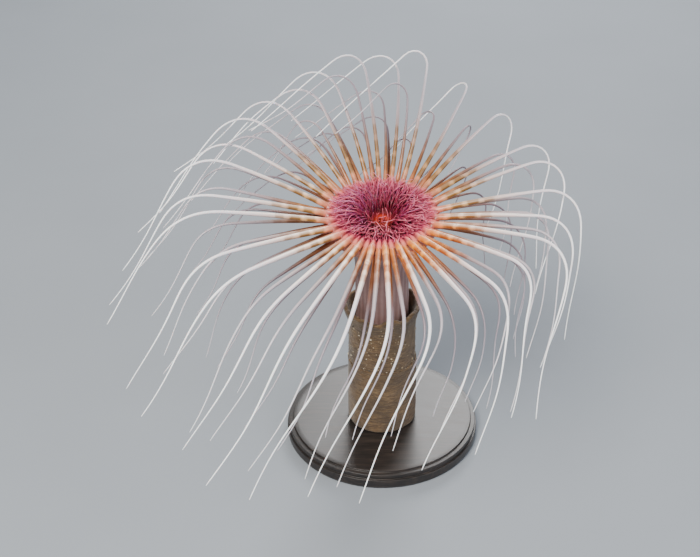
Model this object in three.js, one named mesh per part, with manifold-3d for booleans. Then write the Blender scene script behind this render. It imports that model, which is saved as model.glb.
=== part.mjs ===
// A tube-dwelling sea anemone with its crown spread, in a short length of its own felt tube, on a flat base.
//
// Millimetres, +Z up. The origin is the middle of the base's underside, and the floor is the plane z = 0.
// The crown leans a little towards -Y, the front, and its long tentacles all trail off towards -X and down.
// Compass angles on the disc run from +X through +Y, so 90 degrees is the back and 270 the front.

import * as THREE from 'three';
import { mergeVertices } from 'three/addons/utils/BufferGeometryUtils.js';
import Module from 'manifold-3d';

const wasm = await Module();
wasm.setup();

// ---- Driving dimensions --------------------------------------------------------------------------------

const GAP = 0.3;                         // between neighbouring solids

const DISC_HEIGHT = 140;                 // middle of the oral disc's rim, above the floor
const DISC_FORWARD = 4;                  // the same point, in front of the tube's axis
const CROWN_TILT = 7;                    // degrees that the disc leans towards the front
const DISC_RADIUS = 22.6;                // the soft disc inside the ring of marginal tentacles
const DISC_DEPTH = 7;                    // how far the disc dips to the mouth
const DISC_SIDES = 18;
const RIM_RADIUS = 28.2;                 // the fleshy rim that the marginal tentacles grow from
const RIM_DEPTH = 10;
const RIM_SECTION = [                    // the rim's outline, in radius and height, from under its inner side
  [DISC_RADIUS + GAP, -RIM_DEPTH],
  [RIM_RADIUS - 1.2, -RIM_DEPTH],
  [RIM_RADIUS, 2.5 - RIM_DEPTH],
  [RIM_RADIUS - 0.2, -0.6],
  [RIM_RADIUS - 1.8, 1.3],
  [DISC_RADIUS + GAP, 0.6],
];

const SECTORS = 28;                      // the rim's sectors, with one tentacle of each cycle in each
const TIP_RADIUS = 0.36;
const CORNER_REACH = 1.12;               // a section's corners, beside the round one's radius
const ROOT_PINCH = 0.6;                  // a tentacle's first ring, inside the rim
const ROOT_DEPTH = 0.9;                  // how deep that ring's middle sits under the rim's side
const PATH_STEPS = 60;
const STEPS_IN_ROOT = 5;                 // a path's first steps, where neighbours stand close together
const WEIGHT_OF_BENDS = 1.4;             // how much bends draw the sections together along a tentacle
const CLEARANCE = 1.2;                   // wanted between two tentacles
const ATTEMPTS = 40;
const WIDENING = 0.1;                    // how much each further attempt adds to the scatter

const LABIAL_SIDES = 3;
const LABIAL_RADIUS = 0.5;
const LABIAL_TIP_RADIUS = 0.32;
const LABIAL_SUNK = 0.45;                // how deep a labial tentacle's root sits in its ring
const LABIAL_CORNER_REACH = 1.2;
const LABIAL_PATH_STEPS = 21;
const LABIAL_SECTIONS = 3;
const LABIAL_NOD = 14;                   // degrees that a labial tentacle waves up and down
const LABIAL_WEAVE = { size: 0.3, waves: 1.2 };   // radians and waves of its weaving from side to side
const LABIAL_LENGTH_SCATTER = 0.12;
const LABIAL_RING = { inner: 6.6, outer: 15.6, thickness: 1.4 };
const DISC_THICKENING = 0.4;             // the dish's rim over the crown's own level
const MOUTH = { inner: 2.2, outer: 5.6, height: 1.8, foot: 0.4, lip: 1, step: 0.7, stretch: 0.78 };

const COLUMN_RADIUS = 14.2;
const COLUMN_FOOT_HEIGHT = 14;           // lowest point of the rounded foot end
const COLUMN_CUTS = [50, 84, 106];       // heights where one length of the column ends and the next begins
const COLUMN_SIDES = 16;
const COLUMN_FOOT_RINGS = [0.18, 0.5, 0.78, 0.94, 1];   // shares of the radius, round the foot end
const COLUMN_CROWN = { steps: 5, power: 2.4, inset: 1.4 };

const TUBE = { inner: 15, outer: 18.6, floor: 3, cut: 48, top: 86, flare: 2.6, outerBend: 14, innerBend: 12 };
const TUBE_SIDES = 16;

const BASE = { radius: 52, height: 10, chamfer: 1.5 };
const BASE_SIDES = 32;

// The crown's attitude at twelve places round the disc, every 30 degrees from +X through the back.
const COMPASS = {
  // Degrees that a tentacle climbs at first, and how far odd and even sectors differ in that.
  rise: [14, 20, 38, 45, 42, 30, 20, 10, 4, 2, 6, 11],
  stagger: [0, 3, 5, 6, 6, 5, 4, 2, 0, 0, 0, 0],
  // The lengths that climb, turn over and trail.
  riser: [50, 50, 58, 52, 42, 43, 50, 50, 46, 45, 46, 48],
  arch: [36, 32, 24, 30, 36, 38, 40, 42, 46, 46, 40, 36],
  hang: [58, 54, 54, 52, 46, 40, 42, 46, 54, 60, 56, 54],
  // The trailing end's angle from straight down towards -X, and the share of the whole turn that is made.
  drift: [20, 22, 50, 63, 57, 46, 35, 28, 34, 33, 27, 22],
  turned: [0.92, 0.94, 1, 1, 1, 0.98, 0.94, 0.92, 0.94, 0.94, 0.92, 0.92],
  // The inner cycles' length beside the upper one's.
  second: [0.84, 0.74, 0.66, 0.8, 0.95, 0.95, 0.9, 0.86, 0.88, 0.86, 0.9, 0.9],
  // Thickness at the root beside the cycle's own, and how fast it thins along the length.
  girth: [1, 0.94, 0.88, 0.84, 0.86, 0.92, 0.98, 1.04, 1.06, 1.08, 1.06, 1.04],
  taper: [1.5, 1.7, 1.9, 2, 1.9, 1.7, 1.4, 1.2, 1.15, 1.15, 1.2, 1.3],
};
const FORWARD_LEAN = 28;                 // degrees that the trailing ends swing towards the front
const SAG = 0.06;                        // share of the turn made evenly over the riser, before the arch

// How far one tentacle strays from its place's attitude: degrees, or a share of the length or turn.
const STRAY = { azimuth: 2, arch: 0.1, turned: 0.03, trail: 3, lean: 4, drift: 5 };

// The free end's slow waves: where they begin and how long they take to grow, as shares of the length, how
// many there are across the chord and over it, and how flat the second are beside the first.
const SWAY = { begin: 0.35, growth: 0.5, across: 1.3, over: 1.1, flatness: 0.6 };

// The three cycles of marginal tentacles. Each has its place in a sector, its depth under the rim's edge,
// its thickness, how many degrees it hangs below the upper cycle, and its lengths beside the compass lists.
const CYCLES = [
  {
    name: 'upper', place: 0.25, drop: 0, radius: 1.65, sides: 4, sections: 8,
    lower: 0, share: 1, inner: 0, arch: 1, sway: 2.2, turnLess: 0, driftLess: 0,
    scatter: { rise: 3, riser: 0.05, hang: 0.12 },
  },
  {
    name: 'middle', place: 0.75, drop: 1.9, radius: 1.5, sides: 4, sections: 7,
    lower: 4, share: 1, inner: 1, arch: 0.85, sway: 2, turnLess: 0, driftLess: 0,
    scatter: { rise: 4, riser: 0.07, hang: 0.16 },
  },
  {
    name: 'lower', place: 0.5, drop: 6.4, radius: 1.3, sides: 3, sections: 5,
    lower: 22, share: 0.68, inner: 1, arch: 0.8, sway: 2, turnLess: 0.03, driftLess: 6,
    scatter: { rise: 6, riser: 0.12, hang: 0.2 },
  },
];

// The labial tentacles' rows round the mouth: root, climb at the root and tip in degrees, length and curl.
// Every second one is a solid.
const LABIAL_ROWS = [
  { count: 42, radius: 14.2, place: 0.5, lift: 44, end: 4, length: 12.5, curl: 20 },
  { count: 42, radius: 11.4, place: 0, lift: 60, end: 6, length: 14, curl: 40 },
  { count: 28, radius: 8.2, place: 0.5, lift: 76, end: 10, length: 13, curl: 60 },
];
const LABIALS_SKIPPED = 2;

// ---- Materials -----------------------------------------------------------------------------------------

const material = (color, roughness) => new THREE.MeshStandardMaterial({ color, roughness, metalness: 0 });
const tentacleFlesh = () => material('#e8ded4', 0.4);
const labialFlesh = material('#a85a7c', 0.4);
const discFlesh = material('#6a2233', 0.4);
const mouthFlesh = material('#b2421f', 0.35);
const columnFlesh = () => material('#8a6a66', 0.45);
const tubeFelt = () => material('#6d6454', 0.95);
const blackWood = material('#232122', 0.6);

// ---- Small sums ----------------------------------------------------------------------------------------

const radians = THREE.MathUtils.degToRad;
const mix = THREE.MathUtils.lerp;
const clamp = THREE.MathUtils.clamp;
const smooth = (x) => THREE.MathUtils.smoothstep(x, 0, 1);
const wave = (turns) => Math.sin(2 * Math.PI * turns);

// A fixed scatter: the same number from 0 to 1 each time for the same place and draw.
function chance(place, draw) {
  let n = (Math.imul(place, 374761393) + Math.imul(draw, 668265263)) >>> 0;
  n = Math.imul(n ^ (n >>> 13), 1274126177) >>> 0;
  n = (n ^ (n >>> 16)) >>> 0;
  return n / 4294967296;
}

const scatter = (place, draw) => 2 * chance(place, draw) - 1;

// A compass list read at any azimuth, easing from one place to the next.
function around(list, azimuth) {
  const turn = (((azimuth % 360) + 360) % 360) / 360 * list.length;
  const here = Math.floor(turn);
  const eased = (1 - Math.cos(Math.PI * (turn - here))) / 2;
  return mix(list[here % list.length], list[(here + 1) % list.length], eased);
}

// One direction turned part of the way to another.
function turnTowards(from, to, share) {
  const angle = from.angleTo(to);
  const whole = Math.sin(angle);
  const result = from.clone().multiplyScalar(Math.sin((1 - share) * angle) / whole);
  return result.addScaledVector(to, Math.sin(share * angle) / whole);
}

// ---- The crown's own frame -----------------------------------------------------------------------------

const crown = new THREE.Group();
crown.position.set(0, -DISC_FORWARD, DISC_HEIGHT);
crown.rotation.x = radians(CROWN_TILT);
crown.updateMatrix();

// A point of the crown, from its azimuth, radius and height over the disc's rim.
function crownPoint(azimuth, radius, height) {
  const angle = radians(azimuth);
  const point = new THREE.Vector3(radius * Math.cos(angle), radius * Math.sin(angle), height);
  return point.applyMatrix4(crown.matrix);
}

// A direction out of the crown, from its azimuth and its climb.
function crownDirection(azimuth, rise) {
  const flat = Math.cos(radians(rise));
  const direction = new THREE.Vector3(
    flat * Math.cos(radians(azimuth)),
    flat * Math.sin(radians(azimuth)),
    Math.sin(radians(rise)),
  );
  return direction.applyEuler(crown.rotation);
}

// ---- Making solids -------------------------------------------------------------------------------------

// A closed skin through a row of rings, each ring turning left about the way that the row runs.
function loft(rings) {
  const sides = rings[0].length;
  const positions = rings.flat().flatMap((point) => point.toArray());
  const index = [];
  for (let ring = 0; ring < rings.length - 1; ring += 1) {
    for (let side = 0; side < sides; side += 1) {
      const a = ring * sides + side;
      const b = ring * sides + (side + 1) % sides;
      index.push(a, b, b + sides, a, b + sides, a + sides);
    }
  }
  const last = (rings.length - 1) * sides;
  for (let side = 1; side < sides - 1; side += 1) {
    index.push(0, side + 1, side);
    index.push(last, last + side, last + side + 1);
  }
  const geometry = new THREE.BufferGeometry();
  geometry.setAttribute('position', new THREE.Float32BufferAttribute(positions, 3));
  geometry.setIndex(index);
  return geometry;
}

// A tube along a path, through the path's points numbered in stations, with the radius given at each.
function sweep(path, stations, radiusAt, sides) {
  const rings = [];
  let across = null;
  for (const station of stations) {
    const before = path[Math.max(0, station - 1)];
    const after = path[Math.min(path.length - 1, station + 1)];
    const along = after.clone().sub(before).normalize();
    if (across === null) {
      across = new THREE.Vector3(0, 0, 1).cross(along);
    }
    across.addScaledVector(along, -across.dot(along)).normalize();
    const up = along.clone().cross(across);
    const radius = radiusAt(station);
    const ring = [];
    for (let side = 0; side < sides; side += 1) {
      const angle = (side + 0.5) / sides * 2 * Math.PI;
      const point = path[station].clone();
      point.addScaledVector(across, radius * Math.cos(angle));
      point.addScaledVector(up, radius * Math.sin(angle));
      ring.push(point);
    }
    rings.push(ring);
  }
  return loft(rings);
}

// A turned shape: the profile's points are [radius, height], outer side first, going up.
function turned(profile, sides) {
  const points = profile.map(([radius, height]) => new THREE.Vector2(radius, height));
  const geometry = new THREE.LatheGeometry(points, sides);
  geometry.deleteAttribute('normal');
  geometry.deleteAttribute('uv');
  return mergeVertices(geometry).rotateX(Math.PI / 2);
}

// Several closed shapes joined into one body.
function joined(geometries) {
  const solids = geometries.map((geometry) => new wasm.Manifold(new wasm.Mesh({
    numProp: 3,
    vertProperties: new Float32Array(geometry.getAttribute('position').array),
    triVerts: new Uint32Array(geometry.getIndex().array),
  })));
  const mesh = solids.reduce((whole, solid) => whole.add(solid)).getMesh();
  const geometry = new THREE.BufferGeometry();
  geometry.setAttribute('position', new THREE.BufferAttribute(mesh.vertProperties, 3));
  geometry.setIndex(new THREE.BufferAttribute(mesh.triVerts, 1));
  return geometry;
}

function named(name, geometry, finish) {
  const mesh = new THREE.Mesh(geometry, finish);
  mesh.name = name;
  return mesh;
}

// ---- Marginal tentacles --------------------------------------------------------------------------------

// The way that a tentacle's free end trails: down, towards -X and a little to the front.
function trailing(azimuth, lean, extra) {
  const drift = radians(around(COMPASS.drift, azimuth) + extra);
  const level = Math.cos(radians(lean));
  return new THREE.Vector3(-Math.sin(drift) * level, -Math.sin(radians(lean)), -Math.cos(drift) * level);
}

// A gentle sway, growing towards the tip, added across the tentacle's chord.
function sway(path, size, firstPhase, secondPhase) {
  const last = path.length - 1;
  const chord = path[last].clone().sub(path[Math.floor(path.length / 2)]).normalize();
  const across = chord.clone().cross(new THREE.Vector3(0, 0, 1)).normalize();
  const over = chord.clone().cross(across);
  path.forEach((point, step) => {
    const t = step / last;
    const grown = size * smooth((t - SWAY.begin) / SWAY.growth);
    point.addScaledVector(across, grown * wave(SWAY.across * t + firstPhase));
    point.addScaledVector(over, SWAY.flatness * grown * wave(SWAY.over * t + secondPhase));
  });
  return path;
}

// A tentacle's middle line: it climbs from the rim, arches over and trails.
function tentaclePath(cycle, sector, attempt) {
  const spread = 1 + WIDENING * attempt;
  const draw = (number) => spread * scatter(sector, number + 20 * CYCLES.indexOf(cycle) + 60 * attempt);
  const azimuth = (sector + cycle.place) * 360 / SECTORS;
  const at = (list) => around(list, azimuth);
  const reach = cycle.share * mix(1, at(COMPASS.second), cycle.inner);
  const stagger = at(COMPASS.stagger) * (sector % 2 === 1 ? 1 : -1);
  const rise = at(COMPASS.rise) - cycle.lower + cycle.scatter.rise * draw(2) + stagger;
  const riser = at(COMPASS.riser) * reach * (1 + cycle.scatter.riser * draw(3));
  const arch = at(COMPASS.arch) * cycle.arch * (1 + STRAY.arch * draw(4));
  const hang = at(COMPASS.hang) * reach * (1 + cycle.scatter.hang * draw(5));
  const most = at(COMPASS.turned) - cycle.turnLess + STRAY.turned * draw(6);
  const lean = FORWARD_LEAN + STRAY.lean * draw(8);
  const end = trailing(azimuth + STRAY.trail * draw(7), lean, STRAY.drift * draw(9) - cycle.driftLess);
  const start = crownDirection(azimuth + STRAY.azimuth * draw(10), rise);
  const step = (riser + arch + hang) / PATH_STEPS;
  const point = crownPoint(azimuth, RIM_RADIUS - ROOT_DEPTH, -cycle.drop);
  const path = [point.clone()];
  for (let count = 0; count < PATH_STEPS; count += 1) {
    const along = (count + 0.5) * step;
    const over = smooth((along - riser) / arch);
    const share = SAG * Math.min(1, along / riser) + (1 - SAG) * over;
    point.addScaledVector(turnTowards(start, end, Math.min(1, share * most)), step);
    path.push(point.clone());
  }
  return sway(path, cycle.sway, chance(sector, 11 + 20 * attempt), chance(sector, 12 + 20 * attempt));
}

// A tentacle's radius along its length, from 0 at the root to 1 at the tip.
function tentacleRadius({ cycle, sector }, t) {
  const azimuth = (sector + cycle.place) * 360 / SECTORS;
  const root = cycle.radius * around(COMPASS.girth, azimuth);
  return TIP_RADIUS + (root - TIP_RADIUS) * (1 - t) ** around(COMPASS.taper, azimuth);
}

// The free room between a new path and the tentacles already placed, away from their roots.
function roomBeside(tentacle, placed) {
  let room = Infinity;
  for (const other of placed) {
    for (let step = STEPS_IN_ROOT; step <= PATH_STEPS; step += 1) {
      for (let mark = STEPS_IN_ROOT; mark <= PATH_STEPS; mark += 1) {
        const reach = tentacle.radii[step] + other.radii[mark];
        room = Math.min(room, tentacle.path[step].distanceTo(other.path[mark]) - reach);
      }
    }
  }
  return room;
}

// All the marginal tentacles, each tried in slightly different attitudes until it hangs clear of the others.
function placeTentacles() {
  const placed = [];
  for (const cycle of CYCLES) {
    for (let sector = 0; sector < SECTORS; sector += 1) {
      let best = null;
      for (let attempt = 0; attempt < ATTEMPTS; attempt += 1) {
        const tentacle = { cycle, sector, path: tentaclePath(cycle, sector, attempt) };
        tentacle.radii = tentacle.path.map((_, step) => tentacleRadius(tentacle, step / PATH_STEPS));
        tentacle.room = roomBeside(tentacle, placed);
        if (best === null || tentacle.room > best.room) {
          best = tentacle;
        }
        if (tentacle.room >= CLEARANCE) {
          break;
        }
      }
      placed.push(best);
    }
  }
  return placed;
}

// The path's points where the sections stand: spread evenly by length and bend together.
function stationsOf(path, sections) {
  const measure = [0];
  for (let step = 1; step < path.length; step += 1) {
    const before = path[Math.max(0, step - 2)];
    const incoming = path[step - 1].clone().sub(before);
    const outgoing = path[step].clone().sub(path[step - 1]);
    const bend = step > 1 ? incoming.angleTo(outgoing) : 0;
    measure.push(measure[step - 1] + 1 / PATH_STEPS + WEIGHT_OF_BENDS * bend / Math.PI);
  }
  const total = measure[path.length - 1];
  const stations = [0];
  for (let section = 1; section <= sections; section += 1) {
    const wanted = total * section / sections;
    const station = measure.findIndex((value) => value >= wanted - 1e-9);
    stations.push(Math.max(station, stations[stations.length - 1] + 1));
  }
  stations[stations.length - 1] = path.length - 1;
  return stations;
}

function tentacleSolid({ cycle, path, radii }) {
  const radiusAt = (station) => CORNER_REACH * (station === 0 ? ROOT_PINCH : 1) * radii[station];
  return sweep(path, stationsOf(path, cycle.sections), radiusAt, cycle.sides);
}

// One sector of the fleshy rim, which narrows by the gap at its two ends.
function rimSolid(sector) {
  const inset = (GAP / 2) / RIM_RADIUS * (180 / Math.PI);
  const first = sector * 360 / SECTORS + inset;
  const last = (sector + 1) * 360 / SECTORS - inset;
  const rings = [last, first].map((azimuth) => (
    RIM_SECTION.map(([radius, height]) => crownPoint(azimuth, radius, height))
  ));
  return loft(rings);
}

function marginalTentacles(placed) {
  const meshes = [];
  for (let sector = 0; sector < SECTORS; sector += 1) {
    const own = placed.filter((tentacle) => tentacle.sector === sector);
    const geometry = joined([rimSolid(sector), ...own.map(tentacleSolid)]);
    const number = String(sector + 1).padStart(2, '0');
    meshes.push(named(`marginal_tentacles_${number}`, geometry, tentacleFlesh()));
  }
  return meshes;
}

// ---- Disc, labial tentacles and mouth, in the crown's frame --------------------------------------------

// The disc's upper surface: a shallow dish that is deepest at the mouth.
function dishHeight(radius) {
  const share = clamp(radius / DISC_RADIUS, 0, 1);
  return DISC_THICKENING - DISC_DEPTH * (1 - share ** 2);
}

function oralDisc() {
  const profile = [[0, -RIM_DEPTH], [DISC_RADIUS, -RIM_DEPTH]];
  for (const share of [1, 0.7, 0.4, 0]) {
    const radius = DISC_RADIUS * share;
    profile.push([radius, dishHeight(radius)]);
  }
  return named('oral_disc', turned(profile, DISC_SIDES), discFlesh);
}

// A labial tentacle's middle line: it climbs from its ring and arches outwards over the disc.
function labialPath(row, number) {
  const draw = (count) => scatter(number, 200 + count + 20 * LABIAL_ROWS.indexOf(row));
  const azimuth = radians((number + row.place) * 360 / row.count);
  const outward = new THREE.Vector3(Math.cos(azimuth), Math.sin(azimuth), 0);
  const aside = new THREE.Vector3(-Math.sin(azimuth), Math.cos(azimuth), 0);
  const foot = dishHeight(row.radius) + LABIAL_RING.thickness - LABIAL_SUNK;
  const point = outward.clone().multiplyScalar(row.radius).setZ(foot);
  const step = row.length * (1 + LABIAL_LENGTH_SCATTER * draw(3)) / LABIAL_PATH_STEPS;
  const curl = radians(row.curl * draw(4));
  const path = [point.clone()];
  for (let count = 0; count < LABIAL_PATH_STEPS; count += 1) {
    const t = (count + 0.5) / LABIAL_PATH_STEPS;
    const nod = LABIAL_NOD * wave(t + chance(number, 207));
    const climb = radians(mix(row.lift, row.end, smooth(t)) + nod);
    const weave = LABIAL_WEAVE.size * wave(LABIAL_WEAVE.waves * t + chance(number, 208));
    const heading = curl * t * t + weave;
    point.addScaledVector(outward, Math.cos(climb) * Math.cos(heading) * step);
    point.addScaledVector(aside, Math.cos(climb) * Math.sin(heading) * step);
    point.z += Math.sin(climb) * step;
    path.push(point.clone());
  }
  return path;
}

// The ring of flesh that the labial tentacles grow from, laid on the dish.
function labialRing() {
  const { inner, outer, thickness } = LABIAL_RING;
  const under = [inner, outer].map((radius) => [radius, dishHeight(radius) + GAP]);
  const over = [outer, inner].map((radius) => [radius, dishHeight(radius) + thickness]);
  return turned([...under, ...over, under[0]], DISC_SIDES);
}

function labialTentacles() {
  const stride = LABIAL_PATH_STEPS / LABIAL_SECTIONS;
  const stations = Array.from({ length: LABIAL_SECTIONS + 1 }, (_, section) => section * stride);
  const radiusAt = (station) => (
    LABIAL_CORNER_REACH * mix(LABIAL_RADIUS, LABIAL_TIP_RADIUS, station / LABIAL_PATH_STEPS)
  );
  const shapes = [labialRing()];
  for (const row of LABIAL_ROWS) {
    for (let number = 0; number < row.count; number += LABIALS_SKIPPED) {
      shapes.push(sweep(labialPath(row, number), stations, radiusAt, LABIAL_SIDES));
    }
  }
  return named('labial_tentacles', joined(shapes), labialFlesh);
}

// The lips: a low oval ring round the dark slit of the gullet.
function mouth() {
  const { inner, outer, height, lip, step } = MOUTH;
  const foot = dishHeight(0) + GAP + MOUTH.foot;
  const profile = [
    [inner, foot],
    [outer, foot],
    [outer - lip, foot + height],
    [inner, foot + step * height],
    [inner, foot],
  ];
  const mesh = named('mouth', turned(profile, DISC_SIDES), mouthFlesh);
  mesh.scale.x = MOUTH.stretch;
  return mesh;
}

// ---- Column --------------------------------------------------------------------------------------------

// A level ring of the column, or one tilted and moved part of the way to the crown's frame.
function columnRing(radius, height, towardsCrown = 0) {
  const tilt = radians(CROWN_TILT * towardsCrown);
  const ring = [];
  for (let side = 0; side < COLUMN_SIDES; side += 1) {
    const angle = side / COLUMN_SIDES * 2 * Math.PI;
    const y = radius * Math.sin(angle);
    ring.push(new THREE.Vector3(radius * Math.cos(angle), y * Math.cos(tilt), height + y * Math.sin(tilt)));
  }
  return ring;
}

// The middle of the crown's underside, where the column meets the rim.
const underCrown = crownPoint(0, 0, -RIM_DEPTH - GAP);

// The widening top of the column, which bends forward to carry the disc.
function columnCrown() {
  const rings = [];
  const bottom = COLUMN_CUTS[2] + GAP;
  const { steps, power, inset } = COLUMN_CROWN;
  for (let step = 0; step <= steps; step += 1) {
    const t = step / steps;
    const radius = mix(COLUMN_RADIUS, RIM_RADIUS - inset, t ** power);
    const ring = columnRing(radius, mix(bottom, underCrown.z, t), smooth(t));
    const forward = underCrown.y * t * t;
    rings.push(ring.map((point) => point.setY(point.y + forward)));
  }
  return named('column_crown', loft(rings), columnFlesh());
}

// The straight lengths of the column, and the rounded foot end inside the tube.
function columnLengths() {
  const [footTop, middleTop, upperTop] = COLUMN_CUTS;
  const foot = COLUMN_FOOT_RINGS.map((share) => {
    const drop = 1 - Math.sqrt(1 - share ** 2);
    return columnRing(COLUMN_RADIUS * share, COLUMN_FOOT_HEIGHT + COLUMN_RADIUS * drop);
  });
  foot.push(columnRing(COLUMN_RADIUS, footTop));
  return [
    named('column_foot', loft(foot), columnFlesh()),
    named('column_middle', loft([
      columnRing(COLUMN_RADIUS, footTop + GAP),
      columnRing(COLUMN_RADIUS, middleTop),
    ]), columnFlesh()),
    named('column_upper', loft([
      columnRing(COLUMN_RADIUS, middleTop + GAP),
      columnRing(COLUMN_RADIUS, upperTop),
    ]), columnFlesh()),
  ];
}

// ---- Tube and base -------------------------------------------------------------------------------------

function tubeLengths() {
  const bottom = BASE.height + GAP;
  const { inner, outer, floor, cut, top, flare, outerBend, innerBend } = TUBE;
  const lower = [
    [0, bottom],
    [outer, bottom],
    [outer, cut],
    [inner, cut],
    [inner, bottom + floor],
    [0, bottom + floor],
  ];
  const upper = [
    [inner, cut + GAP],
    [outer, cut + GAP],
    [outer, top - outerBend],
    [outer + flare, top],
    [inner + flare, top],
    [inner, top - innerBend],
    [inner, cut + GAP],
  ];
  return [
    named('tube_lower', turned(lower, TUBE_SIDES), tubeFelt()),
    named('tube_upper', turned(upper, TUBE_SIDES), tubeFelt()),
  ];
}

function standBase() {
  const { radius, height, chamfer } = BASE;
  const profile = [
    [0, 0],
    [radius, 0],
    [radius, height - chamfer],
    [radius - chamfer, height],
    [0, height],
  ];
  return named('stand_base', turned(profile, BASE_SIDES), blackWood);
}

// ---- The whole -----------------------------------------------------------------------------------------

const group = new THREE.Group();
group.add(standBase(), ...tubeLengths());
group.add(...columnLengths(), columnCrown());
crown.add(oralDisc(), mouth(), labialTentacles());
group.add(crown);
group.add(...marginalTentacles(placeTentacles()));

export default group;
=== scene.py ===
"""A tube-dwelling sea anemone, its crown spread, in a short felt tube on a turned wooden base.

The animal is one skin: the oral disc with its mouth, the fleshy rim and the column are a surface of rings,
and every tentacle grows out of an opening left in it, so that no seam shows. The finest of the labial
tentacles, the felt tube, the sand felted into it and the base are pieces of their own. Sizes are in
millimetres in the classes and in metres in Blender. Compass angles run from +X through +Y, the back, and the
crown leans a little to the front, which is -Y.
"""

import logging
import math
from dataclasses import dataclass, field
from enum import Enum
from typing import ClassVar

import bpy
import numpy as np
from bpy.types import ID, Material, Mesh, Node, NodeSocket, NodeTree, Object
from mathutils import Matrix, Vector, noise


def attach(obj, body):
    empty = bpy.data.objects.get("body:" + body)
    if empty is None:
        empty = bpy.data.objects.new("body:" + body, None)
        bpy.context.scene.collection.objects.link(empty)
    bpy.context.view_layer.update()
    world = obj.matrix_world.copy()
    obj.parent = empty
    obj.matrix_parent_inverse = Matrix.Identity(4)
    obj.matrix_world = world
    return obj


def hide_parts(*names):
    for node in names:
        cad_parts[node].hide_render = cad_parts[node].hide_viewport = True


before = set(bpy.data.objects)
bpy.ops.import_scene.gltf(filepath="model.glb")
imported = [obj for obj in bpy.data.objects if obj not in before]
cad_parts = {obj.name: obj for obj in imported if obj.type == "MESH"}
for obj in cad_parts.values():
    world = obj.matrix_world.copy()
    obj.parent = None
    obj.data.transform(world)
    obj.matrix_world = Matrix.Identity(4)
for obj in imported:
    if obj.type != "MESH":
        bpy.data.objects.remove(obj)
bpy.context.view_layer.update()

LOG = logging.getLogger("anemone")
MM = 0.001
# Where a tentacle's first rings stand, in root radii.
ROOT_RINGS = (0.8, 1.6, 2.6)
# What the fixed scatter multiplies with, how far it shifts, and the bits it keeps.
SCATTER_FACTORS = (374761393, 668265263, 1274126177)
SCATTER_SHIFTS = (13, 16)
SCATTER_BITS = 0xFFFFFFFF
# How much of its patch of the map a tentacle fills, and what stays free on each side along it.
PATCH_FILLED = 0.86
PATCH_MARGIN = 0.01

# A tentacle's edges on the map, a field of bumps as in the function of that name, and one number or many.
Patch = tuple[float, float, float, float]
Relief = tuple[float, float, float, float]
Values = float | np.ndarray


class Slot(Enum):
    """The record's material slots. No piece here takes its finish from them."""

    TENTACLES = "tentacle_flesh"
    TUBE = "tube_felt"
    BASE = "stand_wood"


class Wear(Enum):
    """The skin's own finishes, by their place in its material list."""

    BODY = 0
    MARGINAL = 1
    LABIAL = 2


class Zone:
    """Where the body's parts begin, from the gullet's floor at 0 to the foot's end."""

    LIPS: float = 2.0
    OUTER_DISH: float = 3.0
    RIM: float = 4.0
    WALL: float = 5.0
    NECK: float = 6.2
    TRUNK: float = 7.0
    FOOT: float = 7.9
    END: float = 8.0


# ---- Small sums ----


def chance(place: int, draw: int) -> float:
    """Gives a fixed scatter.

    Args:
        place: What the number is drawn for.
        draw: Which of that place's draws it is.

    Returns:
        The same number from 0 to 1 each time.
    """
    n = (place * SCATTER_FACTORS[0] + draw * SCATTER_FACTORS[1]) & SCATTER_BITS
    n = ((n ^ (n >> SCATTER_SHIFTS[0])) * SCATTER_FACTORS[2]) & SCATTER_BITS
    return (n ^ (n >> SCATTER_SHIFTS[1])) / (SCATTER_BITS + 1)


def scatter(place: int, draw: int) -> float:
    """Returns a fixed number from -1 to 1."""
    return 2 * chance(place, draw) - 1


def mix(low: Values, high: Values, share: Values) -> Values:
    """Returns what lies a share of the way from low to high."""
    return low + (high - low) * share


def smooth(value: Values) -> Values:
    """Returns a value eased from 0 to 1."""
    held = np.clip(value, 0.0, 1.0)
    return held * held * (3 - 2 * held)


def wave(turns: Values) -> Values:
    """Returns the sine of a number of whole turns."""
    return np.sin(2 * np.pi * turns)


def around(values: tuple, azimuth: float) -> float:
    """Reads a compass list, easing from one place to the next.

    Args:
        values: The list, evenly spaced from +X through the back.
        azimuth: Where it is read, in degrees.

    Returns:
        The value there.
    """
    turn = (azimuth % 360) / 360 * len(values)
    here = math.floor(turn)
    eased = (1 - math.cos(math.pi * (turn - here))) / 2
    return mix(values[here % len(values)], values[(here + 1) % len(values)], eased)


def nearness(azimuth: float, centre: float, width: float) -> float:
    """Returns how near an azimuth is to another, from 1 to 0 so many degrees away."""
    off = abs((azimuth - centre + 180) % 360 - 180)
    return float(1 - smooth(off / width))


def unit(vector: np.ndarray) -> np.ndarray:
    """Returns a vector made one long."""
    return vector / np.linalg.norm(vector)


def turn_towards(start: np.ndarray, end: np.ndarray, shares: np.ndarray) -> np.ndarray:
    """Turns one direction towards another.

    Args:
        start: The first direction.
        end: The second direction.
        shares: The shares of the whole turn that are made.

    Returns:
        A row for each share.
    """
    angle = math.acos(float(np.clip(start @ end, -1, 1)))
    parts = shares[:, None]
    return (np.sin((1 - parts) * angle) * start + np.sin(parts * angle) * end) / math.sin(angle)


def resample(path: np.ndarray, marks: np.ndarray) -> np.ndarray:
    """Reads a path between its points, on a smooth curve through them.

    Args:
        path: The points, one row each.
        marks: Where to read, counted in points from the first.

    Returns:
        A row for each mark.
    """
    last = len(path) - 1
    held = np.clip(marks, 0, last - 1e-9)
    here = held.astype(int)
    t = (held - here)[:, None]
    a, b, c, d = (path[np.clip(here + step, 0, last)] for step in (-1, 0, 1, 2))
    bend = (2 * a - 5 * b + 4 * c - d) * t**2 + (3 * b - a - 3 * c + d) * t**3
    return 0.5 * (2 * b + (c - a) * t + bend)


# ---- The crown's frame ----


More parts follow.
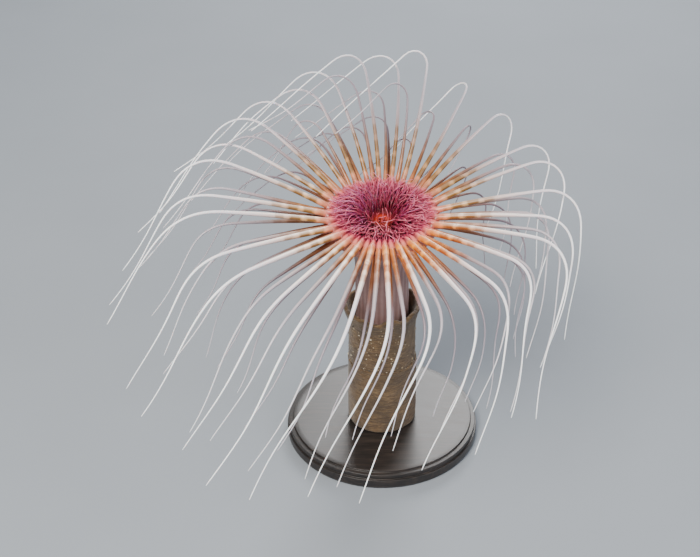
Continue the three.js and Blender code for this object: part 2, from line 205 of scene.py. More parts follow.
@dataclass(frozen=True)
class Crown:
    """Where the disc stands and how it leans.

    Its own frame has its origin in the middle of the rim's edge and its Z along the column's end.
    """

    height: float = 140.0
    forward: float = 4.0
    tilt: float = 7.0
    disc_radius: float = 22.6
    disc_depth: float = 7.0
    disc_thickening: float = 0.4
    rim_radius: float = 28.2

    def turn(self, rows: np.ndarray) -> np.ndarray:
        """Turns directions out of the crown's frame.

        Args:
            rows: A single direction, or one in each row.

        Returns:
            The same directions in the row frame.
        """
        c, s = math.cos(math.radians(self.tilt)), math.sin(math.radians(self.tilt))
        x, y, z = rows[..., 0], rows[..., 1], rows[..., 2]
        return np.stack([x, y * c - z * s, y * s + z * c], axis=-1)

    def place(self, rows: np.ndarray) -> np.ndarray:
        """Returns points of the crown's frame in the row frame."""
        return self.turn(rows) + np.array([0.0, -self.forward, self.height])

    def point(self, azimuth: float, radius: float, height: float) -> np.ndarray:
        """Returns the point at an azimuth, a radius and a height over the rim's edge."""
        angle = math.radians(azimuth)
        return self.place(np.array([radius * math.cos(angle), radius * math.sin(angle), height]))

    def direction(self, azimuth: float, rise: float) -> np.ndarray:
        """Works out a direction that leaves the crown.

        Args:
            azimuth: Where it points, in degrees.
            rise: How steeply it climbs, in degrees.

        Returns:
            The direction in the row frame.
        """
        angle, climb = math.radians(azimuth), math.radians(rise)
        flat = math.cos(climb)
        return self.turn(np.array([flat * math.cos(angle), flat * math.sin(angle), math.sin(climb)]))

    def dish(self, radius: Values) -> Values:
        """Returns the height of the disc's upper side, which dips to the mouth."""
        share = np.clip(radius / self.disc_radius, 0, 1)
        return self.disc_thickening - self.disc_depth * (1 - share**2)


# ---- Tentacles as middle lines ----


@dataclass(frozen=True)
class Tube:
    """A tentacle's surface as rings of points, with each ring's way along the tentacle."""

    rings: np.ndarray
    tip: np.ndarray
    spans: np.ndarray
    shares: np.ndarray
    crest: np.ndarray


@dataclass
class Strand:
    """A tentacle as a middle line with its thickness, and what its colours depend on.

    The seat is the opening it grows from: its kind, its first column and how many it spans. Lot is the
    tentacle's own fixed number. Warm, dim and core say for a marginal tentacle how orange its foot is, how
    dull all of it is, partly by its own colour and partly by painted shade, and how strong the painted dark
    core is that stands in for a see-through tentacle and also marks its tan foot and darker bands. For a
    labial one they say how near the mouth it counts as, how violet it may be and how much it glows.
    """

    path: np.ndarray
    radii: np.ndarray
    seat: tuple[str, int, int]
    wear: Wear
    rings: int
    lot: float = 0.0
    warm: float = 0.0
    dim: float = 0.0
    core: float = 0.0
    # How much slimmer the last ring is, how far the tip stands beyond it, and how far a tangent looks ahead.
    last_ring: ClassVar[float] = 0.7
    tip_reach: ClassVar[float] = 0.8
    look_ahead: ClassVar[float] = 0.2
    # The map's share beyond the last ring, in steps, and where the spans begin, in root radii.
    map_end: ClassVar[float] = 0.3
    sunk_root: ClassVar[float] = 0.5

    def heading(self) -> np.ndarray:
        """Returns the direction in which it leaves its root."""
        return unit(self.path[1] - self.path[0])

    def tube(self, crown: Crown, across: np.ndarray, sides: int) -> Tube:
        """Makes its surface.

        Args:
            crown: The crown that it grows on.
            across: The side on which each ring's first point lies.
            sides: The points in a ring.

        Returns:
            The rings, close together at the root and even from there to the tip.
        """
        steps = len(self.path) - 1
        step = float(np.linalg.norm(np.diff(self.path, axis=0), axis=1).mean())
        near = np.array(ROOT_RINGS) * self.radii[0] / step
        marks = np.concatenate([near, np.linspace(near[-1], steps, self.rings - len(near) + 1)[1:]])
        centres = resample(self.path, marks)
        radii = np.interp(marks, np.arange(steps + 1), self.radii)
        radii[-1] *= self.last_ring
        ahead = resample(self.path, np.minimum(marks + self.look_ahead, steps))
        ahead -= resample(self.path, marks - self.look_ahead)
        tangents = ahead / np.linalg.norm(ahead, axis=1)[:, None]
        angles = 2 * np.pi * np.arange(sides) / sides
        up = crown.turn(np.array([0.0, 0.0, 1.0]))
        rings, crest = [], np.zeros(sides)
        for centre, tangent, radius in zip(centres, tangents, radii):
            across = unit(across - tangent * (across @ tangent))
            over = np.cross(tangent, across)
            if not rings:
                crest = 0.5 + 0.5 * np.cos(angles - math.atan2(up @ over, up @ across))
            circle = np.outer(np.cos(angles), across) + np.outer(np.sin(angles), over)
            rings.append(centre + radius * circle)
        tip = centres[-1] + tangents[-1] * radii[-1] * self.tip_reach
        spans = np.maximum(marks * step - self.sunk_root * self.radii[0], 0)
        return Tube(np.array(rings), tip, spans, marks / (steps + self.map_end), crest)


@dataclass(frozen=True)
class Cycle:
    """One of the rings of marginal tentacles, in the terms of Compass.

    Place is where in its sector it stands, drop how far under the rim's edge, and lower how many degrees less
    it climbs. Share, inner and arch say how its lengths differ from the upper cycle's, and stray how far the
    rise and the lengths scatter. The seat's numbers are columns of the skin, and dim is how dull it looks,
    partly by its own brown-grey colour and partly by painted shade, as the inner cycles lie under the upper
    one.
    """

    name: str
    place: float
    radius: float
    sway: float
    stray: tuple[float, float, float]
    seat_start: int
    rings: int
    seat_span: int = 3
    drop: float = 0.0
    lower: float = 0.0
    share: float = 1.0
    inner: float = 0.0
    arch: float = 1.0
    turn_less: float = 0.0
    drift_less: float = 0.0
    dim: float = 0.0


@dataclass(frozen=True)
class Compass:
    """The crown's attitude at twelve places round the disc, every 30 degrees from +X through the back.

    Rise and stagger are the climb at the root and how far odd and even tentacles differ in it. Riser, arch
    and hang are the lengths that climb, turn over and trail. Drift is the trailing end's angle from straight
    down towards -X, and turned the share of the turn to it that is made. Second is the inner cycles' length
    beside the upper one's. Girth and taper are the thickness at the root and how fast it goes in the solids,
    and fineness how much faster it goes in the flesh.
    """

    rise: tuple = (14, 20, 38, 45, 42, 30, 20, 10, 4, 2, 6, 11)
    stagger: tuple = (0, 3, 5, 6, 6, 5, 4, 2, 0, 0, 0, 0)
    riser: tuple = (50, 50, 58, 52, 42, 43, 50, 50, 46, 45, 46, 48)
    arch: tuple = (36, 32, 24, 30, 36, 38, 40, 42, 46, 46, 40, 36)
    hang: tuple = (58, 54, 54, 52, 46, 40, 42, 46, 54, 60, 56, 54)
    drift: tuple = (20, 22, 50, 63, 57, 46, 35, 28, 34, 33, 27, 22)
    turned: tuple = (0.92, 0.94, 1, 1, 1, 0.98, 0.94, 0.92, 0.94, 0.94, 0.92, 0.92)
    second: tuple = (0.84, 0.74, 0.66, 0.8, 0.95, 0.95, 0.9, 0.86, 0.88, 0.86, 0.9, 0.9)
    girth: tuple = (1, 0.94, 0.88, 0.84, 0.86, 0.92, 0.98, 1.04, 1.06, 1.08, 1.06, 1.04)
    taper: tuple = (1.5, 1.7, 1.9, 2, 1.9, 1.7, 1.4, 1.2, 1.15, 1.15, 1.2, 1.3)
    fineness: tuple = (1.4, 1.3, 1.2, 1.2, 1.2, 1.25, 1.35, 1.45, 1.5, 1.55, 1.6, 1.5)


@dataclass
class MarginalTentacles:
    """The long tentacles of the rim, which climb, arch over and trail towards -X."""

    crown: Crown
    compass: Compass = Compass()
    sectors: int = 28
    sector_columns: int = 6
    steps: int = 60
    solid_tip: float = 0.36
    flesh_tip: float = 0.24
    root_depth: float = 0.9
    root_steps: int = 5
    forward_lean: float = 28.0
    sag: float = 0.06
    clearance: float = 1.2
    attempts: int = 40
    widening: float = 0.1
    sway_begin: float = 0.35
    sway_growth: float = 0.5
    sway_waves: tuple[float, float] = (1.3, 1.1)
    sway_flatness: float = 0.6
    stray_azimuth: float = 2.0
    stray_arch: float = 0.1
    stray_turned: float = 0.03
    stray_trail: float = 3.0
    stray_lean: float = 4.0
    stray_drift: float = 5.0
    # Which of the fixed draws a line takes, and where each cycle's, attempt's, sway's and lot's begin.
    line_draws: range = range(2, 11)
    cycle_draws: int = 20
    attempt_draws: int = 60
    sway_draws: tuple[int, int, int] = (11, 12, 20)
    lot_draw: int = 900
    warm_azimuth: float = 293.0
    warm_width: float = 80.0
    # Where the painted dark core shows, most strongly round the back.
    core_azimuth: float = 85.0
    core_width: float = 150.0
    cycles: tuple[Cycle, ...] = (
        Cycle("upper", place=0.25, radius=1.65, sway=2.2, stray=(3, 0.05, 0.12), seat_start=0, rings=54),
        Cycle(
            "middle", place=0.75, radius=1.5, sway=2, stray=(4, 0.07, 0.16), seat_start=3, rings=50, drop=1.9,
            lower=4, inner=1, arch=0.85, dim=0.65,
        ),
        Cycle(
            "lower", place=0.5, radius=1.3, sway=2, stray=(6, 0.12, 0.2), seat_start=1, rings=40, seat_span=4,
            drop=6.4, lower=22, share=0.68, inner=1, arch=0.8, turn_less=0.03, drift_less=6, dim=0.9,
        ),
    )

    def azimuth(self, cycle: Cycle, sector: int) -> float:
        """Returns the azimuth that a tentacle grows at, in degrees."""
        return (sector + cycle.place) * 360 / self.sectors

    def sway(self, path: np.ndarray, size: float, phases: tuple[float, float]) -> np.ndarray:
        """Adds a gentle sway that grows towards the tip.

        Args:
            path: The middle line.
            size: How far it sways at the most.
            phases: Where each of its two waves begins, in turns.

        Returns:
            The swaying line.
        """
        last = len(path) - 1
        chord = unit(path[last] - path[len(path) // 2])
        across = unit(np.cross(chord, [0.0, 0.0, 1.0]))
        over = np.cross(chord, across)
        t = np.arange(len(path)) / last
        grown = size * smooth((t - self.sway_begin) / self.sway_growth)
        aside = grown * wave(self.sway_waves[0] * t + phases[0])
        above = self.sway_flatness * grown * wave(self.sway_waves[1] * t + phases[1])
        return path + aside[:, None] * across + above[:, None] * over

    def line(self, cycle: Cycle, sector: int, attempt: int) -> np.ndarray:
        """Makes a tentacle's middle line, in one of its possible attitudes.

        Args:
            cycle: The cycle that it belongs to.
            sector: Its place round the rim.
            attempt: Which attitude is wanted; later ones stray further.

        Returns:
            The line's points from root to tip.
        """
        spread = 1 + self.widening * attempt
        first = self.cycle_draws * self.cycles.index(cycle) + self.attempt_draws * attempt
        strays = (spread * scatter(sector, number + first) for number in self.line_draws)
        higher, longer, rounder, deeper, further, trailed, leant, drifted, aside = strays
        azimuth = self.azimuth(cycle, sector)
        at = {name: around(values, azimuth) for name, values in vars(self.compass).items()}
        reach = cycle.share * mix(1, at["second"], cycle.inner)
        stagger = at["stagger"] * (1 if sector % 2 == 1 else -1)
        rise = at["rise"] - cycle.lower + cycle.stray[0] * higher + stagger
        riser = at["riser"] * reach * (1 + cycle.stray[1] * longer)
        arch = at["arch"] * cycle.arch * (1 + self.stray_arch * rounder)
        hang = at["hang"] * reach * (1 + cycle.stray[2] * deeper)
        most = at["turned"] - cycle.turn_less + self.stray_turned * further
        lean = math.radians(self.forward_lean + self.stray_lean * leant)
        drift = around(self.compass.drift, azimuth + self.stray_trail * trailed)
        drift = math.radians(drift + self.stray_drift * drifted - cycle.drift_less)
        level = math.cos(lean)
        end = np.array([-math.sin(drift) * level, -math.sin(lean), -math.cos(drift) * level])
        start = self.crown.direction(azimuth + self.stray_azimuth * aside, rise)
        step = (riser + arch + hang) / self.steps
        along = (np.arange(self.steps) + 0.5) * step
        share = mix(np.minimum(1, along / riser), smooth((along - riser) / arch), 1 - self.sag)
        moves = turn_towards(start, end, np.minimum(1, share * most)) * step
        root = self.crown.point(azimuth, self.crown.rim_radius - self.root_depth, -cycle.drop)
        path = np.vstack([root, root + np.cumsum(moves, axis=0)])
        one, two, apart = self.sway_draws
        phases = (chance(sector, one + apart * attempt), chance(sector, two + apart * attempt))
        return self.sway(path, cycle.sway, phases)

    def radii(self, cycle: Cycle, sector: int, fine: bool) -> np.ndarray:
        """Lays out a tentacle's thickness.

        Args:
            cycle: The cycle that it belongs to.
            sector: Its place round the rim.
            fine: Whether the flesh is meant, which thins out faster than the solid.

        Returns:
            Its radius at each point of its line.
        """
        azimuth = self.azimuth(cycle, sector)
        root = cycle.radius * around(self.compass.girth, azimuth)
        tip = self.flesh_tip if fine else self.solid_tip
        power = around(self.compass.taper, azimuth)
        if fine:
            power *= around(self.compass.fineness, azimuth)
        left = 1 - np.arange(self.steps + 1) / self.steps
        return tip + (root - tip) * left**power

    def strands(self) -> list[Strand]:
        """Tries each tentacle in slightly different attitudes until it hangs clear of those before it.

        Returns:
            The tentacles, cycle by cycle.
        """
        made, taken, reaches = [], np.empty((0, 3)), np.empty(0)
        for cycle in self.cycles:
            for sector in range(self.sectors):
                radii = self.radii(cycle, sector, False)
                own = radii[self.root_steps :]
                best, best_room = None, -math.inf
                for attempt in range(self.attempts):
                    path = self.line(cycle, sector, attempt)
                    apart = np.linalg.norm(path[self.root_steps :, None] - taken[None], axis=2)
                    gaps = apart - own[:, None] - reaches[None]
                    room = float(gaps.min()) if gaps.size else math.inf
                    if room > best_room:
                        best, best_room = path, room
                    if room >= self.clearance:
                        break
                taken = np.vstack([taken, best[self.root_steps :]])
                reaches = np.concatenate([reaches, own])
                azimuth = self.azimuth(cycle, sector)
                seat = (cycle.name, sector * self.sector_columns + cycle.seat_start, cycle.seat_span)
                slim = self.radii(cycle, sector, True)
                strand = Strand(best, slim, seat, Wear.MARGINAL, cycle.rings)
                strand.lot = chance(sector, self.lot_draw + self.cycles.index(cycle))
                strand.warm = nearness(azimuth, self.warm_azimuth, self.warm_width)
                strand.core = nearness(azimuth, self.core_azimuth, self.core_width)
                strand.dim = cycle.dim
                made.append(strand)
        return made


@dataclass(frozen=True)
class LabialRow:
    """A ring of labial tentacles.

    Its count and radius, where in its pitch it stands, its climb at the root and the tip in degrees, its
    length, how far it curls sideways, how near the mouth it counts as, and how much more its tips climb in
    front of the mouth.
    """

    count: int
    radius: float
    place: float
    lift: float
    end: float
    length: float
    curl: float
    mouthward: float
    upright: float = 0.0


@dataclass
class LabialTentacles:
    """The fine tentacles on the disc, which climb round the mouth and arch outwards over the dish.

    The glow is the patch of orange ones in front of the mouth, the streak its narrow end behind it. Cool ones
    may be violet, and rosy ones are pale all along.
    """

    crown: Crown
    steps: int = 21
    radius: float = 0.34
    tip_radius: float = 0.19
    ring_thickness: float = 1.4
    sunk: float = 0.45
    nod: float = 14.0
    weave: tuple[float, float] = (0.3, 1.2)
    length_scatter: float = 0.12
    stray: float = 0.0
    glow_width: float = 7.5
    streak_width: float = 2.5
    streak_share: float = 0.35
    streak_easing: float = 2.0
    rosy_azimuth: float = 90.0
    rosy_width: float = 80.0
    rosy_share: float = 0.7
    cool_azimuth: float = 155.0
    cool_width: float = 110.0
    span: int = 2
    rings: int = 15
    front_power: float = 1.5
    # Where the rows, nods, weaves and lots begin among the fixed draws.
    first_draw: int = 200
    row_draws: int = 20
    nod_draw: int = 7
    weave_draw: int = 8
    lot_draw: int = 750
    rows: tuple[LabialRow, ...] = (
        LabialRow(42, 14.2, 0.5, 44, 4, 12.5, 20, 0.1),
        LabialRow(42, 11.4, 0.0, 60, 6, 14.0, 40, 0.25),
        LabialRow(28, 8.2, 0.5, 76, 10, 13.0, 60, 0.75),
        LabialRow(56, 15.7, 1 / 3, 42, 2, 10.0, 14, 0.0, 30),
        LabialRow(42, 12.8, 0.25, 52, 4, 13.5, 36, 0.2, -10),
        LabialRow(42, 9.8, 0.5, 68, 0, 14.0, 65, 0.45, -10),
    )

    def line(self, row: LabialRow, number: int) -> np.ndarray:
        """Makes a labial tentacle's middle line.

        Args:
            row: The row that it stands in.
            number: Its place in the row.

        Returns:
            The line's points from root to tip.
        """
        first = self.first_draw + self.row_draws * self.rows.index(row)
        ended, lifted, _, longer, curled = (scatter(number, first + count) for count in range(5))
        azimuth = math.radians((number + row.place) * 360 / row.count)
        outward = np.array([math.cos(azimuth), math.sin(azimuth), 0.0])
        aside = np.array([-math.sin(azimuth), math.cos(azimuth), 0.0])
        foot = self.crown.dish(row.radius) + self.ring_thickness - self.sunk
        root = outward * row.radius + np.array([0.0, 0.0, foot])
        step = row.length * (1 + self.length_scatter * longer) / self.steps
        curl = math.radians(row.curl * curled)
        t = (np.arange(self.steps) + 0.5) / self.steps
        nod = self.nod * wave(t + chance(number, self.first_draw + self.nod_draw))
        front = (0.5 - 0.5 * math.sin(azimuth)) ** self.front_power
        end = row.end + row.upright * front + self.stray * ended
        climb = np.radians(mix(row.lift + self.stray / 2 * lifted, end, smooth(t)) + nod)
        swing, swings = self.weave
        phase = chance(number, self.first_draw + self.weave_draw)
        heading = curl * t * t + swing * wave(swings * t + phase)
        level = np.cos(climb)
        moves = (level * np.cos(heading))[:, None] * outward + (level * np.sin(heading))[:, None] * aside
        moves[:, 2] += np.sin(climb)
        path = np.vstack([root, root + np.cumsum(moves * step, axis=0)])
        return self.crown.place(path)

    def strands(self) -> list[Strand]:
        """Makes the tentacles.

        Returns:
            The tentacles, row by row.
        """
        made = []
        radii = mix(self.radius, self.tip_radius, np.arange(self.steps + 1) / self.steps)
        for index, row in enumerate(self.rows):
            pitch = Skin.columns // row.count
            for number in range(row.count):
                column = number * pitch + round(row.place * pitch) - self.span // 2
                seat = (f"labial_{index}", column, self.span)
                strand = Strand(self.line(row, number), radii, seat, Wear.LABIAL, self.rings)
                strand.lot = chance(number, self.first_draw + self.lot_draw + index)
                # Those in front of the mouth glow orange, and a narrow streak of those behind it.
                turn = (number + row.place) * 2 * math.pi / row.count
                rosy = nearness(math.degrees(turn), self.rosy_azimuth, self.rosy_width)
                strand.warm = row.mouthward * (1 - self.rosy_share * rosy)
                behind = float(smooth(0.5 + self.streak_easing * math.sin(turn)))
                width = mix(self.glow_width, self.streak_width, behind)
                aside = float(1 - smooth(abs(row.radius * math.cos(turn)) / width))
                strand.core = row.mouthward * aside * mix(1.0, self.streak_share, behind)
                strand.dim = nearness(math.degrees(turn), self.cool_azimuth, self.cool_width)
                made.append(strand)
        return made


# ---- The skin ----


@dataclass(frozen=True)
class Ring:
    """One ring of the body, from the gullet's floor over the rim and down to the column's foot.

    The height is in the crown's frame, or the row frame where trunk says how far the ring has come from the
    column, 0, to the crown, 1. Pinch draws the ring in along X. Crease sinks it between the tentacles' feet,
    and dip lowers the feet of the middle cycle.
    """

    radius: float
    height: float
    zone: float
    pinch: float = 1.0
    crease: float = 0.0
    dip: float = 0.0
    trunk: float | None = None


@dataclass
class Shell:
    """A mesh that is gathered patch by patch: its points, what they carry, its faces and their map."""

    points: list = field(default_factory=list)
    traits: dict = field(default_factory=dict)
    faces: list = field(default_factory=list)
    corners: list = field(default_factory=list)
    wears: list = field(default_factory=list)
    count: int = 0

    def add_points(self, points: np.ndarray, **traits: float | np.ndarray) -> int:
        """Adds points with the values they carry.

        Args:
            points: The points, one row each.
            **traits: For each trait a value for all the points, or one for each.

        Returns:
            The first one's number.
        """
        first = self.count
        self.points.append(points)
        for name, value in traits.items():
            self.traits.setdefault(name, []).append(np.broadcast_to(value, (len(points),)))
        self.count += len(points)
        return first

    def add_faces(self, faces: np.ndarray, corners: np.ndarray, wear: Wear) -> None:
        """Adds faces.

        Args:
            faces: The points' numbers, one row for each face.
            corners: Each corner's place on the map.
            wear: The finish they wear.
        """
        self.faces.extend(faces.tolist())
        self.corners.append(corners.reshape(-1, 2))
        self.wears.append(np.full(len(faces), wear.value))

    def add_tentacle(self, strand: Strand, tube: Tube, patch: Patch, loop: np.ndarray | None = None) -> None:
        """Adds a tentacle's surface.

        Args:
            strand: The tentacle.
            tube: Its rings.
            patch: Its place on the map.
            loop: The points that it grows from, or nothing where it is closed at its root.
        """
        rows, sides = tube.rings.shape[:2]
        carried = {name: getattr(strand, name) for name in ("lot", "warm", "dim", "core")}
        carried["zone"] = Zone.WALL
        spans = np.repeat(tube.spans, sides)
        first = self.add_points(
            tube.rings.reshape(-1, 3), span=spans, crest=np.tile(tube.crest, rows), **carried
        )
        tip = self.add_points(tube.tip[None], span=spans[-1], crest=0.5, **carried)
        low, high, bottom, top = patch
        u = mix(low, high, tube.shares)
        v = mix(bottom, top, np.arange(sides + 1) / sides)
        k = np.arange(sides)
        after = (k + 1) % sides
        starts = [first + row * sides + k for row in range(rows)]
        if loop is not None:
            starts.insert(0, loop)
            u = np.concatenate([[low], u])
        faces, corners = [], []
        for row, (start, ring) in enumerate(zip(starts, starts[1:])):
            faces.append(np.stack([start, start[after], ring[after], ring], axis=1))
            u0, u1 = np.full(sides, u[row]), np.full(sides, u[row + 1])
            corners.append(np.stack([u0, v[:-1], u0, v[1:], u1, v[1:], u1, v[:-1]], axis=1))
        self.add_faces(np.vstack(faces), np.vstack(corners), strand.wear)
        middle = (v[:-1] + v[1:]) / 2
        caps = [(tip, starts[-1], starts[-1][after], u[-1], high)]
        if loop is None:
            root = self.add_points(tube.rings[0].mean(axis=0)[None], span=0.0, crest=0.5, **carried)
            caps.append((root, starts[0][after], starts[0], u[0], low))
        for pole, here, there, near, far in caps:
            u0, u1 = np.full(sides, near), np.full(sides, far)
            flat = np.stack([u0, v[:-1], u0, v[1:], u1, middle], axis=1)
            self.add_faces(np.stack([here, there, np.full(sides, pole)], axis=1), flat, strand.wear)

    def build(self, name: str) -> Object:
        """Makes the object.

        Args:
            name: The object's name.

        Returns:
            The object, with smooth faces, in metres.
        """
        mesh = bpy.data.meshes.new(name)
        mesh.from_pydata((np.vstack(self.points) * MM).tolist(), [], self.faces)
        layer = mesh.uv_layers.new(name="OFBake")
        layer.data.foreach_set("uv", np.vstack(self.corners).astype(np.float32).ravel())
        for trait, values in self.traits.items():
            carry(mesh, trait, values)
        mesh.polygons.foreach_set("material_index", np.concatenate(self.wears).astype(np.int32))
        mesh.polygons.foreach_set("use_smooth", np.ones(len(mesh.polygons), dtype=bool))
        mesh.update()
        made = put(name, mesh)
        # The points inside the openings belong to no face.
        pick(made)
        bpy.ops.object.mode_set(mode="EDIT")
        bpy.ops.mesh.select_all(action="SELECT")
        bpy.ops.mesh.delete_loose(use_verts=True, use_edges=False, use_faces=False)
        bpy.ops.object.mode_set(mode="OBJECT")
        return made


def share_map(strands: list[Strand], across: int, low: float, high: float) -> list[tuple[Strand, Patch]]:
    """Shares out part of the map among tentacles.

    Args:
        strands: The tentacles.
        across: How many stand side by side along u.
        low: The part's lowest v.
        high: The part's highest v.

    Returns:
        Pairs of tentacle and patch.
    """
    rows = math.ceil(len(strands) / across)
    pairs = []
    for number, strand in enumerate(strands):
        column, row = number % across, number // across
        left, right = (column + PATCH_MARGIN) / across, (column + 1 - PATCH_MARGIN) / across
        bottom, top = mix(low, high, row / rows), mix(low, high, (row + PATCH_FILLED) / rows)
        pairs.append((strand, (left, right, bottom, top)))
    return pairs


@dataclass
class Skin:
    """The whole animal as one closed surface."""

    crown: Crown
    marginals: MarginalTentacles
    labials: LabialTentacles
    columns: ClassVar[int] = 168
    # The body's part of the map, how far its end fans reach, what it counts from the crown's rings to the
    # column's, and the parts of the two kinds of tentacle.
    map_along: ClassVar[tuple[float, float]] = (0.01, 0.99)
    map_across: ClassVar[tuple[float, float]] = (0.004, 0.294)
    map_end: ClassVar[float] = 0.008
    map_joint: ClassVar[float] = 0.5
    map_labials: ClassVar[tuple[int, float, float]] = (9, 0.305, 0.40)
    map_marginals: ClassVar[tuple[int, float, float]] = (2, 0.41, 0.998)
    root_easing: ClassVar[float] = 0.75
    # The body's rings in the crown's frame, as radius, height and zone, from the gullet's floor to the lips.
    gullet: tuple = (
        (0.9, -9.3, 0.0), (1.5, -8.8, 0.15), (1.9, -7.6, 0.3), (2.1, -6.4, 0.5), (2.5, -5.3, 0.8),
        (3.2, -4.7, 1.0), (4.0, -4.6, 1.15), (4.8, -5.0, 1.35), (5.6, -5.6, 1.6),
    )
    floor_depth: float = 9.5
    mouth_stretch: float = 0.74
    # The dish's rings between the lips and the labial tentacles, and beyond these.
    inner_dish: tuple = (6.4, 7.1)
    outer_dish: tuple = (16.9, 17.7, 18.8, 20.0, 21.2)
    dish_edge: float = 17.0
    seat_half_width: float = 0.48
    labial_swell: float = 1.25
    swell_ends: tuple[float, float] = (1.4, 1.8)
    swell_margin: float = 1.0
    pinch_reach: float = 2.0
    # The furrows between the tentacles' feet: their depth, how much of it they lose towards the feet and over
    # how many millimetres, how many rings further down they end, and how many columns apart they are.
    furrow: float = 1.9
    furrow_end: float = 0.3
    furrow_fading: float = 3.0
    furrow_rings: int = 3
    foot_columns: int = 3
    # The rim's rings and the wall under it, where the three cycles grow.
    rim: tuple = ((22.4, 0.5, 4.0), (23.5, 0.95, 4.3), (24.6, 1.3, 4.6), (25.7, 1.5, 4.85))
    rim_dips: tuple = (0.0, 0.3, 0.8, 1.3)
    wall_top: tuple = (
        (26.6, 1.4), (27.4, 0.5), (27.85, -0.6), (28.0, -1.6), (28.0, -2.6), (28.0, -3.4), (28.0, -4.2),
    )
    wall_dips: tuple = (1.6, 0.8)
    wall_low: tuple = ((28.0, -5.2), (28.0, -6.45), (27.95, -7.7), (27.7, -8.7), (27.2, -9.6))
    seat_rows: tuple = (("upper", 0, 3), ("middle", 2, 3), ("lower", 7, 2))
    # The column, from under the crown to its rounded foot.
    under_crown: float = 10.3
    neck_radius: float = 26.4
    neck_power: float = 2.4
    neck_rings: int = 12
    column_radius: float = 13.8
    column_top: float = 106.3
    column_foot: float = 14.2
    trunk_rings: int = 26
    foot_rings: int = 6
    ridge_height: float = 0.011
    wrinkle_pitch: float = 5.5
    wrinkle_height: float = 0.07
    wrinkle_sway: float = 0.8
    dent_size: float = 9.0
    dent_turns: float = 2.2
    dent_height: float = 0.22

    def dish_rings(self) -> tuple[list[Ring], dict[str, tuple[int, int]]]:
        """Lays out the rings from the gullet to the dish's edge.

        Returns:
            The rings, and for each row of labial tentacles its first ring and how many rows it spans.
        """
        rings = [Ring(radius, height, zone, self.mouth_stretch) for radius, height, zone in self.gullet]
        seats: dict[str, tuple[int, int]] = {}
        marks = [(radius, "") for radius in self.inner_dish]
        order = sorted(range(len(self.labials.rows)), key=lambda index: self.labials.rows[index].radius)
        for index in order:
            radius = self.labials.rows[index].radius
            near, far = radius - self.seat_half_width, radius + self.seat_half_width
            marks += [(near, f"labial_{index}"), (far, "")]
        marks += [(radius, "") for radius in self.outer_dish]
        lips, rim = self.gullet[-1][0], self.rim[0][0]
        for radius, seat in marks:
            if seat:
                seats[seat] = (len(rings), 1)
            rise, fall = self.swell_ends
            edge = self.dish_edge - self.swell_margin
            swell = smooth((radius - lips) / rise) * (1 - smooth((radius - edge) / fall))
            inner = (radius - lips) / (self.dish_edge - lips)
            outer = (radius - self.dish_edge) / (rim - self.dish_edge)
            zone = mix(Zone.LIPS, Zone.OUTER_DISH, inner)
            if inner >= 1:
                zone = mix(Zone.OUTER_DISH, Zone.RIM, outer)
            pinch = mix(self.mouth_stretch, 1, float(smooth((radius - lips) / self.pinch_reach)))
            crease = self.furrow * float(smooth(outer))
            height = self.crown.dish(radius) + self.labial_swell * swell
            rings.append(Ring(radius, float(height), zone, pinch, crease))
        return rings, seats

    def body_rings(self) -> tuple[list[Ring], dict[str, tuple[int, int]]]:
        """Lays out all the body's rings.

        Returns:
            The rings, and for each kind of seat its first ring and how many rows it spans.
        """
        rings, seats = self.dish_rings()
        for (radius, height, zone), dip in zip(self.rim, self.rim_dips):
            faded = float(smooth((radius - self.rim[1][0]) / self.furrow_fading))
            crease = self.furrow * (1 - self.furrow_end * faded)
            rings.append(Ring(radius, height, zone, crease=crease, dip=dip))
        wall = self.wall_top + self.wall_low
        for name, start, rows in self.seat_rows:
            seats[name] = (len(rings) + start, rows)
        for number, (radius, height) in enumerate(wall):
            dip = self.wall_dips[number] if number < len(self.wall_dips) else 0.0
            crease = self.furrow * max(0.0, (1 - self.furrow_end) * (1 - number / self.furrow_rings))
            rings.append(Ring(radius, height, Zone.WALL + number / len(wall), crease=crease, dip=dip))
        under = self.crown.point(0, 0, -self.under_crown)
        for number in range(self.neck_rings + 1):
            trunk = 1 - number / self.neck_rings
            radius = mix(self.column_radius, self.neck_radius, trunk**self.neck_power)
            height = mix(self.column_top, under[2], trunk)
            rings.append(Ring(radius, height, mix(Zone.TRUNK, Zone.NECK, trunk), trunk=trunk))
        foot_top = self.column_foot + self.column_radius
        for number in range(1, self.trunk_rings + 1):
            share = number / self.trunk_rings
            height = mix(self.column_top, foot_top, share)
            rings.append(Ring(self.column_radius, height, mix(Zone.TRUNK, Zone.FOOT, share), trunk=0.0))
        for number in range(1, self.foot_rings):
            angle = math.pi / 2 * number / self.foot_rings
            height = foot_top - self.column_radius * math.sin(angle)
            zone = mix(Zone.FOOT, Zone.END, number / self.foot_rings)
            rings.append(Ring(self.column_radius * math.cos(angle), height, zone, trunk=0.0))
        return rings, seats

    def ring_points(self, ring: Ring) -> tuple[np.ndarray, np.ndarray]:
        """Lays out a ring's points.

        Args:
            ring: The ring.

        Returns:
            The points in the row frame, and how far each stands out: 0 in a furrow and 1 on a ridge.
        """
        columns = np.arange(self.columns)
        angles = 2 * np.pi * columns / self.columns
        if ring.trunk is None:
            furrow = np.where(columns % self.foot_columns == 0, 1.0, 0.0)
            second = np.where(columns % (2 * self.foot_columns) > self.foot_columns, 1.0, 0.0)
            height = ring.height - ring.crease * furrow - ring.dip * second
            x, y = ring.pinch * ring.radius * np.cos(angles), ring.radius * np.sin(angles)
            return self.crown.place(np.stack([x, y, height], axis=-1)), 1 - furrow
        ridge = np.cos(columns * math.pi / self.foot_columns)
        tall = np.full(self.columns, ring.height / self.dent_size)
        turns = np.stack([np.cos(angles), np.sin(angles), tall], axis=-1)
        turns[:, :2] *= self.dent_turns
        dents = np.array([noise.noise(Vector(turn)) for turn in turns])
        wrinkle = wave(ring.height / self.wrinkle_pitch + self.wrinkle_sway * dents)
